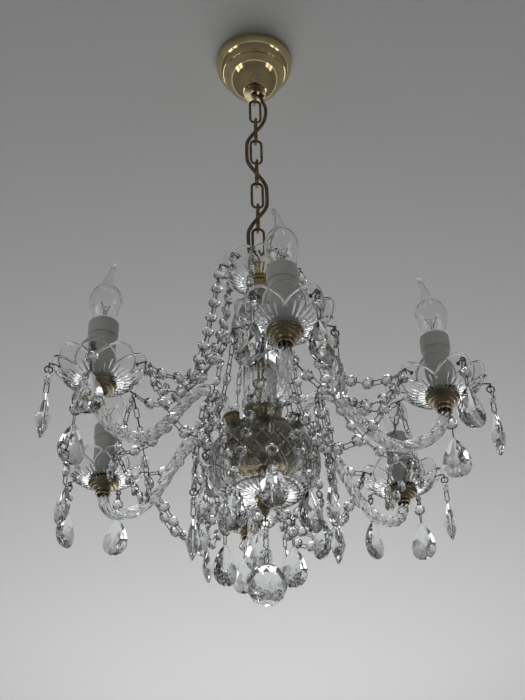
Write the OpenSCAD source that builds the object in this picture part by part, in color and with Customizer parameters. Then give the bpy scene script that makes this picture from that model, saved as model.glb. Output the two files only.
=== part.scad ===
// Six-arm crystal chandelier on a chain, in millimetres, +Z up.
// The origin is on the ceiling, on the axis of the ceiling rose. Arm 1 points along -Y.
// Heights inside the chandelier body are given from the level of the candle cups.

/* [Ceiling rose] */
// Radius of the rose at the ceiling
rose_r = 55.5; // [50:0.5:70]
// Depth of the rose below the ceiling
rose_h = 62; // [55:1:80]
// Sheet thickness of the brass pressings
sheet = 1.2; // [0.8:0.1:1.6]
// Radius of the nut under the rose
nut_r = 15.5; // [15:0.5:18]
// Height of the nut under the rose
nut_h = 8; // [7:0.5:12]
// Distance between the two screw slots of the ceiling bracket
bracket_spacing = 60; // [50:1:70]
// Width of the screw slots
bracket_slot_w = 5; // [4:0.5:6]

/* [Chain] */
// Number of links
link_count = 7; // [5:2:11]
// Outer length of a link
link_l = 48.2; // [42:0.2:56]
// Outer width of a link
link_w = 18; // [17:0.5:22]
// Wire of the links
link_wire = 3.5; // [3:0.1:4]
// Diameter of the flex
flex_d = 5; // [4:0.1:5]

/* [Arms] */
// Distance from the axis to the candles
arm_reach = 205; // [200:1:215]
// Radius of the twisted glass arm over its ribs
arm_r = 6.5; // [6:0.1:6.6]
// Height of the arch of each arm above the candle cups
arm_peak = 45; // [42:1:50]
// Depth of the low bend of each arm below the candle cups
arm_dip = 46; // [42:1:50]
// Ribs round an arm
arm_ribs = 6; // [6:1:7]
// Turns that the ribs make along an arm
arm_twist = 2.5; // [2:0.5:5]

/* [Candles] */
// Outer radius of the drip dishes
dish_r = 50; // [48:0.5:52]
// Glass thickness of the dishes
dish_wall = 3.5; // [3:0.1:4]
// Height of a dish from its base to its rim
dish_h = 22; // [21:0.5:24]
// Radius of the candle tube
candle_r = 14.2; // [14:0.1:15]
// Height of the candle tube above the dish
candle_h = 72; // [66:1:80]
// Greatest radius of a bulb
bulb_r = 17.5; // [16.5:0.1:18.5]
// Height of the bulb glass above its cap
bulb_h = 92; // [86:1:98]

/* [Body] */
// Height of the top loop above the candle cups
body_top = 262; // [255:1:275]
// Greatest radius of the glass vase
vase_r = 36; // [33:0.5:38]
// Radius of the glass column below the vase
column_r = 21.5; // [20:0.5:23]
// Greatest radius of the glass bowl
bowl_r = 62; // [60:0.5:63]
// Depth of the glass bowl below the candle cups
bowl_depth = 66; // [64:0.5:68]
// Glass thickness of the bowl
bowl_wall = 4; // [3:0.1:5]
// Radius of the brass pan that carries the arms
hub_r = 48; // [47:0.5:50]
// Diameter of the crystal ball
ball_d = 43; // [38:1:46]

/* [Crystals] */
// Width of an octagon bead across its flats
bead_w = 14; // [13:0.2:14.4]
// Thickness of a bead
bead_t = 7; // [6:0.2:7.4]
// Wire length from one bead to the next
bead_gap = 8; // [7:0.2:10]
// Length of a pear pendant
pear_l = 50; // [44:1:54]
// Width of a pear pendant
pear_w = 33; // [30:0.5:34]
// Thickness of a pear pendant
pear_t = 16; // [13:0.5:17]
// Radius of the ring of pendants round the bowl
skirt_r = 76; // [75:0.5:78]
// How far the upper strands between the dishes sag
swag_sag = 58; // [50:1:64]

/* [Hidden] */
$fn = 48;
// Running clearance between parts that hang in each other, and between seats
fit = 0.3;
// Clearance of a seat that does not move
seat = 0.2;
// Overrun of a cutting solid
over = 1;

brass = [0.80, 0.64, 0.30];
old_brass = [0.42, 0.33, 0.20];
steel = [0.70, 0.70, 0.72];
crystal = [0.86, 0.90, 0.94];
white = [0.93, 0.93, 0.90];
cable_brown = [0.36, 0.26, 0.18];

ARM_COUNT = 6;
ARMS = [0 : ARM_COUNT - 1];
ARM_STEP = 360 / ARM_COUNT;
// Turn of each drip dish on its cup, as it was put on by hand
DISH_TURN = [30, 24, 24, 0, -6, -18];
// Direction that the bent tip of each bulb points in
BULB_TURN = [-100, 180, 160, 60, 20, 185];
// Holes of a drip dish, counted from its outward one: three carry pendants, two the strands
HOLE_STEP = 72;
DISH_LOBES = 10;
TOP_LOBES = 2 * ARM_COUNT;

// Rose, the strap that carries it and its loop
strap_t = 2;
strap_l = 2 * (rose_r - 8);
strap_w = 22;
block_l = 28;
block_w = 14;
block_h = 18;
block_x = 9;
block_y = strap_w / 2 + seat;
nipple_r = 4;
rose_ring_r = 6.8;
rose_ring_wire = 4;
nut_bottom = -(rose_h + nut_h);
nipple_end = -(rose_h + nut_h / 2);
rose_ring_z = nut_bottom - 0.8 - rose_ring_r - rose_ring_wire / 2;
rose_pivot_z = rose_ring_z - rose_ring_r;

// Chain
link_bend = (link_w - link_wire) / 2;
link_pitch = link_l - 2 * link_wire - fit;
first_link_top = rose_pivot_z + rose_ring_wire / 2 + fit + link_wire;
last_link_top = first_link_top - (link_count - 1) * link_pitch;
last_link_seat = last_link_top - link_l + link_wire;
top_ring_wire = 3.5;
top_ring_r = 8;
top_ring_z = last_link_seat + fit + top_ring_wire / 2 - top_ring_r;
top_cap_z = top_ring_z - top_ring_r - top_ring_wire / 2 - fit;
top_stem_r = 2.4;
top_stem_l = 12;
cap_top_r = 10;
// Level of the candle cups below the ceiling
drop = body_top - top_cap_z;

// Flex
flex_slot_y = flex_d + 2 * fit;
flex_slot_travel = 2.1;
flex_entry_x = 9;
flex_exit_x = top_stem_r + 0.3 + flex_d / 2;
flex_cap_travel = 2.3;

// Arm route
arm_root_r = 39.5;
arm_root_z = 12;
arm_peak_r = 70;
arm_dip_r = 166;
arm_end_z = -6.3;
arm_rings = 40;
// Depth of the grooves between the ribs of an arm
arm_groove = 1.3;

// Hub, bowl and stem
tube_r = 5;
tube_bore = tube_r + seat / 2;
hub_top = 8;
pan_depth = 33;
pan_wall = sheet + 1;
bowl_lip_z = 5;
ferrule_r = 8.6;
ferrule_h = 13;
ferrule_tilt = 17;

// Candle
cup_r = 18;
cup_top = 3;
cup_bottom = -14;
dish_base = cup_top;
dish_floor = dish_base + dish_wall;
sleeve_z = dish_floor + seat;
sleeve_top = sleeve_z + candle_h;
sleeve_wall = 1.6;
collar_h = 18;
collar_extra = 1.8;
holder_r = candle_r - sleeve_wall - fit;
holder_top = sleeve_top - 9;
cap_r = 6.9;
cap_h = 24;
bulb_base = sleeve_top - 4;
tip_z = 0.75 * bulb_h;
glass_stem_h = 0.2 * bulb_h;
filament_z = 0.3 * bulb_h;
filament_r = 6;

// Wire eyes and rings
wire_r = 0.8;
eye_r = 2.6;
ring_r = 4;
pin_r = 0.9;
hole_r = pin_r + fit;
hole_rise = 15;
eye_out = 51.5 / 50 * dish_r;
eye_drop = 2 * eye_r;
ring_hang = 2 * wire_r + fit;
clip_r = 0.6;
// Distance from the middle of an eye's wire at which a strand's own wire starts beside it
eye_clear = 2;
// Angle round an eye, from its bottom, at which the upper strands are tied
eye_side = 75;
// Play of the clips at a bead, which lets a strand bend there
bead_clear = 0.7;
bead_pitch = bead_w + bead_gap;

// How much lower the lower strands between the dishes sag, and how far the upper ones are drawn
// out and the lower ones in
swag_drop = 27;
swag_out = 20;
swag_in = 54;

// Heights that the strings of the bowl end at
skirt_arm_z = -38;
skirt_mid_z = -60;

// Places down the middle
top_dish_base = body_top - 31;
top_eye_z = top_dish_base + hole_rise - eye_drop;
vase_top = top_dish_base - 19;
vase_bottom = 115;
column_foot = 45;
cap_bottom = 20;
neck_r = 9;
finial_top = -bowl_depth - seat;
finial_h = 23;
ball_eye_z = finial_top - finial_h - eye_r;

// Curves and places

// A point turned about the vertical axis
function spun(p, a) = [p.x * cos(a) - p.y * sin(a), p.x * sin(a) + p.y * cos(a), p.z];
// Angle that turns +X to the outward direction of an arm
function arm_angle(k) = k * ARM_STEP - 90;
function mix(a, b, t) = a + (b - a) * t;
function quad_bezier(a, b, c, t) = mix(mix(a, b, t), mix(b, c, t), t);
function cubic_bezier(a, b, c, d, t) = mix(quad_bezier(a, b, c, t), quad_bezier(b, c, d, t), t);
function unit(v) = v / norm(v);

// Length along a run of points, up to each of them
function run_lengths(pts) = [
    for (i = 0, s = 0; i < len(pts); i = i + 1, s = s + (i < len(pts) ? norm(pts[i] - pts[i - 1]) : 0))
        s
];
// Point at the length s along a run of points
function at_length(pts, runs, s) = [
    for (axis = [0 : 2]) lookup(s, [for (i = [0 : len(pts) - 1]) [runs[i], pts[i][axis]]])
];

function top_hole_angle(i) = (i + 0.5) * 360 / TOP_LOBES - 90;
function hole_angle(k, j) = DISH_TURN[k] + HOLE_STEP * j;
// Bottom wire of the eye at a dish hole, from which a pendant or a strand hangs
function eye_point(k, j) =
    let (b = hole_angle(k, j))
    spun([arm_reach + eye_out * cos(b), eye_out * sin(b), dish_base + hole_rise - eye_drop], arm_angle(k));
// Point on the wire of that eye, on the side that the direction towards points to
function eye_wire(k, j, towards) =
    let (a = arm_angle(k) + hole_angle(k, j), across = [-sin(a), cos(a), 0])
    eye_point(k, j)
        + eye_r * (sin(eye_side) * sign(across * towards) * across + [0, 0, 1 - cos(eye_side)]);
function top_eye_point(a) = spun([eye_out, 0, top_eye_z], a - 90);

// Centreline of an arm: an arch, a fall and a rise into the candle cup
function arm_point(u) =
    u < 1 ? cubic_bezier([arm_root_r, arm_root_z], [arm_root_r + 5, arm_root_z + 17],
        [arm_peak_r - 15, arm_peak], [arm_peak_r, arm_peak], u)
    : u < 2 ? cubic_bezier([arm_peak_r, arm_peak], [arm_peak_r + 30, arm_peak],
        [arm_dip_r - 42, -arm_dip], [arm_dip_r, -arm_dip], u - 1)
    : cubic_bezier([arm_dip_r, -arm_dip], [arm_dip_r + 25, -arm_dip], [arm_reach, -36],
        [arm_reach, arm_end_z], u - 2);

// General solids

// A ring of round wire round the X axis, at the origin
module ring_x(r, wire) {
    rotate([0, 90, 0])
        rotate_extrude()
            translate([r, 0])
                circle(wire, $fn = 24);
}

// A ring of round wire round the Y axis, at the origin
module ring_y(r, wire) {
    rotate([90, 0, 0])
        rotate_extrude()
            translate([r, 0])
                circle(wire, $fn = 24);
}

// A rod of radius r from point a to point b
module rod(a, b, r) {
    d = b - a;
    translate(a)
        rotate([0, acos(d.z / norm(d)), atan2(d.y, d.x)])
            cylinder(h = norm(d), r = r, $fn = 16);
}

// Turns the children so that their Z axis runs along d, and rolls them about it
module along(d, roll = 0) {
    rotate([0, acos(d.z / norm(d)), atan2(d.y, d.x)])
        rotate(roll)
            children();
}

// An octagon bead, its flats across Z and its faces across Y
module bead() {
    rotate([90, 0, 0])
        rotate(22.5)
            cylinder(h = bead_t, d = bead_w / cos(22.5), center = true, $fn = 8);
}

// Outline of a pear pendant as [half width, height below its top], round the pointed drop
function pear_side() = [
    [0.16, 0], [0.30, 0.10], [0.62, 0.28], [0.92, 0.48], [1.00, 0.64], [0.86, 0.82], [0.50, 0.95]
];
function pear_outline(scale_by, deep) =
    let (side = pear_side(), top = pear_l * 0.56)
    [
        for (p = side) [p.x * pear_w / 2 * scale_by, deep, -top + (top - p.y * pear_l) * scale_by],
        [0, deep, -top + (top - pear_l) * scale_by],
        for (i = [len(side) - 1 : -1 : 0])
            [-side[i].x * pear_w / 2 * scale_by, deep, -top + (top - side[i].y * pear_l) * scale_by]
    ];

// A pear pendant with a thick middle and a flat table on each face, its top at the origin
module pear() {
    n = 2 * len(pear_side()) + 1;
    rings = [pear_outline(0.5, -pear_t / 2), pear_outline(1, 0), pear_outline(0.5, pear_t / 2)];
    polyhedron(
        points = [for (ring = rings) each ring],
        faces = [
            [for (i = [0 : n - 1]) i],
            for (j = [0 : 1], i = [0 : n - 1])
                each [
                    [j * n + i, (j + 1) * n + i, (j + 1) * n + (i + 1) % n],
                    [j * n + i, (j + 1) * n + (i + 1) % n, j * n + (i + 1) % n]
                ],
            [for (i = [n - 1 : -1 : 0]) 2 * n + i]
        ]
    );
}

// The cut ball: facets on rings of latitude, each ring turned half a facet
module cut_ball() {
    sides = 10;
    rings = [-66, -40, -14, 14, 40, 66];
    last = len(rings) - 1;
    points = [
        for (j = [0 : last], i = [0 : sides - 1])
            let (a = (i + j / 2) * 360 / sides)
            ball_d / 2 * [cos(rings[j]) * cos(a), cos(rings[j]) * sin(a), sin(rings[j])]
    ];
    polyhedron(
        points = points,
        faces = [
            [for (i = [0 : sides - 1]) i],
            for (j = [0 : last - 1], i = [0 : sides - 1])
                let (a = j * sides + i, b = j * sides + (i + 1) % sides, up = sides)
                each [[a, a + up, b], [b, a + up, b + up]],
            [for (i = [sides - 1 : -1 : 0]) last * sides + i]
        ]
    );
}

// A tube swept along points, with the radius of each corner from a list, turning as it goes
module swept(pts, radii, twist = 0) {
    n = len(radii);
    last = len(pts) - 1;
    function forward(i) = unit(pts[min(i + 1, last)] - pts[max(i - 1, 0)]);
    function across(i) = unit(cross([0.05, 1, 0.03], forward(i)));
    corners = [
        for (i = [0 : last])
            let (f = forward(i), x = across(i), y = cross(f, x))
            for (c = [0 : n - 1])
                let (a = 360 * c / n + twist * i / last)
                pts[i] + radii[c] * (cos(a) * x + sin(a) * y)
    ];
    polyhedron(
        points = corners,
        faces = [
            [for (c = [0 : n - 1]) c],
            for (i = [0 : last - 1], c = [0 : n - 1])
                let (a = i * n + c, b = i * n + (c + 1) % n)
                each [[a, a + n, b], [b, a + n, b + n]],
            [for (c = [n - 1 : -1 : 0]) last * n + c]
        ]
    );
}

// A strand of octagon beads on wire clips along a curve. Its first lead and last tail millimetres
// are bare wire, and the wire stops short of the curve's ends by the two gaps.
module strand(pts, lead = 0, tail = 0, from_gap = wire_r + seat, to_gap = wire_r + seat) {
    runs = run_lengths(pts);
    total = runs[len(runs) - 1];
    count = max(1, round((total - lead - tail) / bead_pitch));
    pitch = (total - lead - tail) / count;
    for (i = [0 : count - 1]) {
        middle = lead + (i + 0.5) * pitch;
        d = at_length(pts, runs, middle + 1) - at_length(pts, runs, middle - 1);
        translate(at_length(pts, runs, middle))
            along(d, roll = 12 * sin(180 * i / max(1, count - 1)))
                bead();
    }
    for (i = [0 : count]) {
        from = i == 0 ? from_gap : lead + (i - 0.5) * pitch + bead_w / 2 + bead_clear;
        to = i == count ? total - to_gap : lead + (i + 0.5) * pitch - bead_w / 2 - bead_clear;
        rod(at_length(pts, runs, from), at_length(pts, runs, to), clip_r);
    }
}

// Ceiling rose

module strap_slots() {
    for (side = [-1, 1])
        translate([side * bracket_spacing / 2, 0, -strap_t - over])
            linear_extrude(strap_t + 2 * over)
                round_slot(6, bracket_slot_w);
}

// A slot with round ends, length along X between the centres of its ends
module round_slot(length, width) {
    square([length, width], center = true);
    for (side = [-1, 1])
        translate([side * length / 2, 0])
            circle(d = width);
}

module ceiling_bracket() {
    color(steel) {
        difference() {
            translate([-strap_l / 2, -strap_w / 2, -strap_t])
                cube([strap_l, strap_w, strap_t]);
            strap_slots();
        }
        translate([0, 0, nipple_end])
            cylinder(h = -nipple_end - 1.5, r = nipple_r);
    }
}

// Two-way terminal block against the strap, with the inner end of the flex
module terminal_block() {
    middle_y = block_y + block_w / 2;
    tail_x = flex_entry_x + 3;
    color(white)
        difference() {
            translate([block_x, block_y, -block_h])
                cube([block_l, block_w, block_h]);
            for (x = [0.25, 0.75])
                translate([block_x + x * block_l, middle_y, -block_h - over])
                    cylinder(h = 12, d = 4);
        }
    color(cable_brown)
        swept(
            [for (t = [0 : 0.125 : 1]) cubic_bezier([tail_x, middle_y, -block_h - 0.5],
                [tail_x, middle_y, -block_h - 14], [flex_entry_x, 0, -36],
                [flex_entry_x, 0, -rose_h + 3], t)],
            [for (i = [1 : 8]) flex_d / 2]
        );
}

module flex_slot(z, h) {
    translate([flex_entry_x, 0, z])
        linear_extrude(h)
            round_slot(2 * flex_slot_travel, flex_slot_y);
}

module rose_outline(inset) {
    r = rose_r - inset;
    polygon([
        [0, inset > 0 ? over : 0], [r, inset > 0 ? over : 0], [r, -0.10 * rose_h],
        [r - 3.5, -0.25 * rose_h], [r - 7, -0.33 * rose_h], [r - 10.5, -0.38 * rose_h + inset],
        [r - 12.5, -0.40 * rose_h + inset], [r - 12.5, -0.44 * rose_h + inset],
        [r - 15.5, -0.61 * rose_h + inset], [r - 19, -0.71 * rose_h + inset],
        [r - 25, -0.84 * rose_h + inset], [r - 31.5, -0.93 * rose_h + inset],
        [16, -rose_h + inset], [0, -rose_h + inset]
    ]);
}

module ceiling_rose() {
    color(brass)
        difference() {
            rotate_extrude()
                rose_outline(0);
            rotate_extrude()
                rose_outline(sheet);
            translate([0, 0, -rose_h - over])
                cylinder(h = sheet + 2 * over, r = nipple_r + seat);
            flex_slot(-rose_h - over, sheet + 2 * over);
        }
}

module rose_nut() {
    color(brass)
        translate([0, 0, nut_bottom])
            difference() {
                union() {
                    cylinder(h = nut_h, r = nut_r - 2);
                    translate([0, 0, 1.5])
                        cylinder(h = nut_h - 3.5, r = nut_r);
                }
                translate([0, 0, -over])
                    cylinder(h = nut_h + 2 * over, r = nipple_r + seat);
                translate([0, 0, -nut_bottom])
                    flex_slot(nut_bottom - over, nut_h + 2 * over);
            }
}

// Ring that screws on the end of the nipple
module rose_loop() {
    color(brass) {
        translate([0, 0, rose_ring_z])
            ring_x(rose_ring_r, rose_ring_wire / 2);
        translate([0, 0, nut_bottom - 2.4])
            cylinder(h = nipple_end - seat - nut_bottom + 2.4, r = nipple_r - 0.5);
    }
}

// Chain and flex

// A long link in the XZ plane, its top at the origin
module link() {
    straight = link_l - link_w;
    translate([0, 0, -link_l / 2])
        for (end = [0, 180])
            rotate([0, end, 0]) {
                translate([0, 0, straight / 2])
                    rotate([90, 0, 0])
                        rotate_extrude(angle = 180)
                            translate([link_bend, 0])
                                circle(d = link_wire, $fn = 24);
                translate([link_bend, 0, -straight / 2])
                    cylinder(h = straight, d = link_wire, $fn = 24);
            }
}

module chain_links() {
    color(old_brass)
        for (i = [0 : link_count - 1])
            translate([0, 0, first_link_top - i * link_pitch])
                rotate(i % 2 * 90)
                    link();
}

// The flex runs down beside the chain and weaves through it
function flex_route() = [
    [9, 0, -66.5], [9, 0, -74], [11, 0, -83], [14, 0, -92], [15, 0, -103], [14, 0, -113],
    [12, 0, -123], [7, 0, -134.5], [0, 0, -145.5], [-7, 0, -156.5], [-12, 0, -168], [-12.8, 0, -180],
    [-12.8, 0, -193], [-12, 0, -205], [-7, 0, -216.5], [0, 0, -227.5], [7, 0, -238.5], [12, 0, -250],
    [12.8, 0, -262], [12.8, 0, -275], [12, 0, -287], [7, 0, -298], [0, 0, -309], [-7, 0, -320.5],
    [-12, 0, -332], [-12.8, 0, -344], [-12.5, 0, -356], [-12, 0, -366], [-10, 0, -375],
    [-6.5, 0, -382], [-5.2, 0, -388]
];

module flex() {
    color(cable_brown)
        swept(flex_route(), [for (i = [1 : 8]) flex_d / 2]);
}

// Chandelier body. The modules below are drawn from the level of the candle cups.

module top_loop() {
    color(old_brass) {
        translate([0, 0, top_ring_z + drop])
            ring_x(top_ring_r, top_ring_wire / 2);
        translate([0, 0, body_top - top_stem_l])
            cylinder(h = top_stem_l + top_ring_wire / 2, r = top_stem_r);
    }
}

// Ribbed cap that the loop screws into, clamping the top dish
module top_cap() {
    floor_z = top_dish_base + dish_wall + seat;
    height = body_top - floor_z;
    color(brass)
        difference() {
            translate([0, 0, floor_z])
                rotate_extrude()
                    polygon([
                        [0, 0], [14, 0], [14, 1.5], [10, 3.5], [8, 6], [7.6, 10],
                        for (i = [0 : 3]) each [[9.4, 12 + 3 * i], [8.4, 13.5 + 3 * i]],
                        [cap_top_r, height - 3], [cap_top_r, height], [0, height]
                    ]);
            translate([0, 0, floor_z - over])
                cylinder(h = height - top_stem_l + over + seat, r = tube_bore);
            translate([0, 0, floor_z])
                cylinder(h = height + over, r = top_stem_r + seat);
            translate([-flex_exit_x, 0, body_top - 4])
                linear_extrude(4 + over)
                    rotate(90)
                        round_slot(2 * flex_cap_travel, flex_slot_y);
        }
}

// Revolved glass bowl with a lobed rim: lobes round the edge, holes in some of them
module lobed_dish(lobes, hole_angles) {
    lobe_r = dish_r * 0.4;
    difference() {
        intersection() {
            rotate_extrude()
                difference() {
                    dish_side(0);
                    dish_side(dish_wall);
                }
            linear_extrude(dish_h + over)
                union() {
                    circle(dish_r * 0.85);
                    for (i = [0 : lobes - 1])
                        rotate(i * 360 / lobes)
                            translate([dish_r - lobe_r, 0])
                                circle(lobe_r);
                }
        }
        translate([0, 0, -over])
            cylinder(h = dish_wall + 2 * over, r = tube_bore);
        for (a = hole_angles)
            rotate(a)
                translate([dish_r * 0.7, 0, hole_rise])
                    rotate([0, 90, 0])
                        cylinder(h = dish_r * 0.4, r = hole_r, $fn = 24);
    }
}

// Half section of the dish, moved up and in by the wall for its hollow
module dish_side(wall) {
    polygon([
        [0, wall], [18, wall], [26, wall + 1.2], [34 - wall * 0.35, wall * 0.8 + 4.5],
        [41 - wall * 0.7, wall * 0.4 + 10], [dish_r - 4.2 - wall * 0.8, hole_rise],
        [dish_r - wall * 0.7, dish_h + over], [0, dish_h + over]
    ]);
}

// Pin through a dish wall, with a head inside and an eye outside
module dish_pin() {
    inner = dish_r - 4.2 - dish_wall - 2.8;
    translate([inner, 0, hole_rise])
        rotate([0, 90, 0]) {
            cylinder(h = eye_out - inner - wire_r - seat, r = pin_r, $fn = 24);
            translate([0, 0, -1.2])
                cylinder(h = 1.2, r = 2.2, $fn = 24);
        }
    translate([eye_out, 0, hole_rise - eye_r])
        ring_x(eye_r, wire_r);
}

module top_dish() {
    color(crystal)
        translate([0, 0, top_dish_base])
            lobed_dish(TOP_LOBES, [for (i = [0 : TOP_LOBES - 1]) top_hole_angle(i)]);
}

// Brass cup between the top dish and the vase
module top_dish_cup() {
    h = top_dish_base - vase_top;
    color(brass)
        translate([0, 0, vase_top])
            difference() {
                rotate_extrude()
                    polygon([
                        [0, seat], [8.5, seat], [9.5, 0.3 * h], [8.5, 0.45 * h], [12, 0.75 * h],
                        [17, h - 1.8], [17, h - seat], [0, h - seat]
                    ]);
                translate([0, 0, -over])
                    cylinder(h = h + 2 * over, r = tube_bore);
            }
}

// Blown glass vase with a thick wall, open down the middle
module vase() {
    h = vase_top - vase_bottom;
    color(crystal)
        translate([0, 0, vase_bottom])
            rotate_extrude()
                polygon([
                    [tube_bore, 0], [column_r, 0], [vase_r - 9, 0.11 * h], [vase_r - 2.6, 0.24 * h],
                    [vase_r, 0.37 * h], [vase_r - 1.2, 0.51 * h], [vase_r - 4.5, 0.68 * h],
                    [vase_r - 11, 0.86 * h], [vase_r - 18, 0.95 * h], [vase_r - 20, h],
                    [tube_bore, h], [tube_bore, h - 5], [vase_r - 19, 0.86 * h],
                    [vase_r - 7, 0.55 * h], [vase_r - 5, 0.37 * h], [vase_r - 8, 0.22 * h],
                    [tube_bore, 5]
                ]);
}

// Glass column with a ringed foot
module column() {
    h = vase_bottom - column_foot - seat;
    color(crystal)
        translate([0, 0, column_foot])
            rotate_extrude()
                polygon([
                    [tube_bore, 0], [column_r, 0],
                    for (i = [0 : 2]) each [
                        [column_r + 1, 1 + 4 * i], [column_r + 2, 2.2 + 4 * i],
                        [column_r + 1, 3.4 + 4 * i], [column_r, 4.6 + 4 * i]
                    ],
                    [column_r, h], [tube_bore, h], [tube_bore, h - 4], [column_r - 6, h - 12],
                    [column_r - 6, 14], [tube_bore, 6]
                ]);
}

module column_cap() {
    h = column_foot - cap_bottom - seat;
    color(brass)
        translate([0, 0, cap_bottom])
            rotate_extrude()
                polygon([
                    [tube_bore, seat], [neck_r, seat], [neck_r + 3, 0.1 * h], [column_r - 4, 0.35 * h],
                    [column_r - 0.5, 0.65 * h], [column_r + 0.5, 0.8 * h], [column_r + 0.5, h],
                    [tube_bore, h]
                ]);
}

// Threaded tube that every piece of the body is strung on
module stem() {
    top = body_top - top_stem_l - seat;
    bottom = finial_top - 6;
    color(brass)
        translate([0, 0, bottom])
            difference() {
                cylinder(h = top - bottom, r = tube_r);
                translate([0, 0, -over])
                    cylinder(h = top - bottom + 2 * over, r = tube_r - 1.2);
            }
}

module stem_collar() {
    h = cap_bottom - hub_top;
    color(brass)
        translate([0, 0, hub_top])
            rotate_extrude()
                polygon([
                    [tube_bore, seat], [neck_r + 1, seat], [neck_r + 1, 0.25 * h], [neck_r - 1.5, 0.45 * h],
                    [neck_r - 1.5, 0.7 * h], [neck_r, h], [tube_bore, h]
                ]);
}

// Half section of the pan under the hub, moved in by its wall for the hollow
function pan_outline(inset) =
    let (inner = pan_r() - inset, bottom = -pan_depth + inset)
    [
        [12, bottom], [0.64 * inner, bottom + 0.12 * pan_depth], [0.86 * inner, bottom + 0.38 * pan_depth],
        [0.97 * inner, bottom + 0.72 * pan_depth], [inner, -0.06 * pan_depth]
    ];

// Brass pan that lies on the lip of the bowl and carries the arms
module hub() {
    color(brass)
        difference() {
            rotate_extrude()
                polygon([
                    [tube_bore, -pan_depth], each pan_outline(0), [pan_r(), bowl_lip_z + seat],
                    [hub_r, bowl_lip_z + seat], [hub_r, hub_top - 1], [hub_r - 1, hub_top],
                    [tube_bore, hub_top]
                ]);
            rotate_extrude()
                polygon([
                    [tube_bore + 2, -pan_depth + pan_wall], each pan_outline(pan_wall),
                    [pan_r() - pan_wall, hub_top - pan_wall], [tube_bore + 2, hub_top - pan_wall]
                ]);
        }
}

function bowl_mouth_r() = bowl_r - 13.3;
function pan_r() = bowl_mouth_r() - bowl_wall - 2 * fit;

// Outline of the glass bowl as [radius, height], from its lip to its foot
function bowl_outline(inset) = [
    [bowl_mouth_r() - inset, bowl_lip_z + (inset > 0 ? over : 0)],
    [bowl_r - 5.4 - inset, -7], [bowl_r - inset, -22], [bowl_r - 1 - inset, -36],
    [bowl_r - 6.4 - inset, -bowl_depth + 17 + inset * 0.3],
    [bowl_r - 16 - inset * 0.8, -bowl_depth + 7 + inset * 0.7],
    [bowl_r - 27 - inset * 0.5, -bowl_depth + 2 + inset], [10, -bowl_depth + inset]
];

module bowl() {
    color(crystal)
        difference() {
            rotate_extrude()
                polygon([
                    each bowl_outline(0), [tube_bore, -bowl_depth], [tube_bore, bowl_lip_z]
                ]);
            rotate_extrude()
                polygon([
                    each bowl_outline(bowl_wall), [0, -bowl_depth + bowl_wall], [0, bowl_lip_z + over]
                ]);
        }
}

module finial() {
    color(old_brass)
        translate([0, 0, finial_top]) {
            difference() {
                rotate_extrude()
                    polygon([
                        [0, 0], [10.7, 0], [10.7, -2], [7, -3.5], [8.5, -6], [8.5, -9.5], [6, -13],
                        [3.4, -16], [2.4, -19], [1.6, -finial_h], [0, -finial_h]
                    ]);
                translate([0, 0, -7])
                    cylinder(h = 7 + over, r = tube_bore);
            }
            translate([0, 0, -finial_h - eye_r])
                ring_x(eye_r, wire_r);
        }
}

// Arms

module arm(k) {
    pts = [for (i = [0 : arm_rings]) let (p = arm_point(3 * i / arm_rings)) [p.x, 0, p.y]];
    radii = [for (i = [1 : 2 * arm_ribs]) i % 2 == 1 ? arm_r : arm_r - arm_groove];
    color(crystal)
        rotate(arm_angle(k))
            swept(pts, radii, 360 * arm_twist);
}

module arm_1() { arm(0); }
module arm_2() { arm(1); }
module arm_3() { arm(2); }
module arm_4() { arm(3); }
module arm_5() { arm(4); }
module arm_6() { arm(5); }

// Brass cups on the pan that the roots of the arms are set in
module arm_ferrules() {
    root = [arm_root_r, 0, arm_root_z];
    color(brass)
        for (k = ARMS)
            rotate(arm_angle(k))
                difference() {
                    translate(root)
                        rotate([0, ferrule_tilt, 0]) {
                            translate([0, 0, -8])
                                cylinder(h = ferrule_h + 5, r = ferrule_r);
                            translate([0, 0, ferrule_h - 3])
                                cylinder(h = 2.5, r = ferrule_r + 0.8);
                        }
                    translate(root)
                        rotate([0, ferrule_tilt, 0])
                            translate([0, 0, -fit])
                                cylinder(h = ferrule_h + 8, r = arm_r + 3 * fit);
                    translate([arm_root_r - 30, -20, hub_top + seat - 20])
                        cube([60, 40, 20]);
                }
}

// Candles

module at_candles() {
    for (k = ARMS)
        rotate(arm_angle(k))
            translate([arm_reach, 0, 0])
                children();
}

// Cup on the end of each arm, with the stud that the dish and the lampholder sit on
module candle_cups() {
    color(brass)
        at_candles()
            difference() {
                rotate_extrude()
                    polygon([
                        [0, cup_bottom], [9, cup_bottom], [9, cup_bottom + 2], [8.3, cup_bottom + 3],
                        [8.3, cup_bottom + 6], [10, -6], [14, -3], [cup_r - 1, 1], [cup_r, cup_top - seat],
                        [tube_r, cup_top - seat], [tube_r, dish_floor + 7], [0, dish_floor + 7]
                    ]);
                translate([0, 0, cup_bottom - over])
                    cylinder(h = arm_end_z - cup_bottom + over + fit, r = arm_r + 2 * fit);
            }
}

module drip_dishes() {
    color(crystal)
        for (k = ARMS)
            rotate(arm_angle(k))
                translate([arm_reach, 0, dish_base])
                    rotate(DISH_TURN[k])
                        lobed_dish(DISH_LOBES, [for (j = [0 : 4]) HOLE_STEP * j]);
}

// Pins through all the holes of the drip dishes and of the top dish
module dish_pins() {
    color(steel) {
        for (k = ARMS, j = [0 : 4])
            rotate(arm_angle(k))
                translate([arm_reach, 0, dish_base])
                    rotate(hole_angle(k, j))
                        dish_pin();
        for (i = [0 : TOP_LOBES - 1])
            translate([0, 0, top_dish_base])
                rotate(top_hole_angle(i))
                    dish_pin();
    }
}

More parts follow.
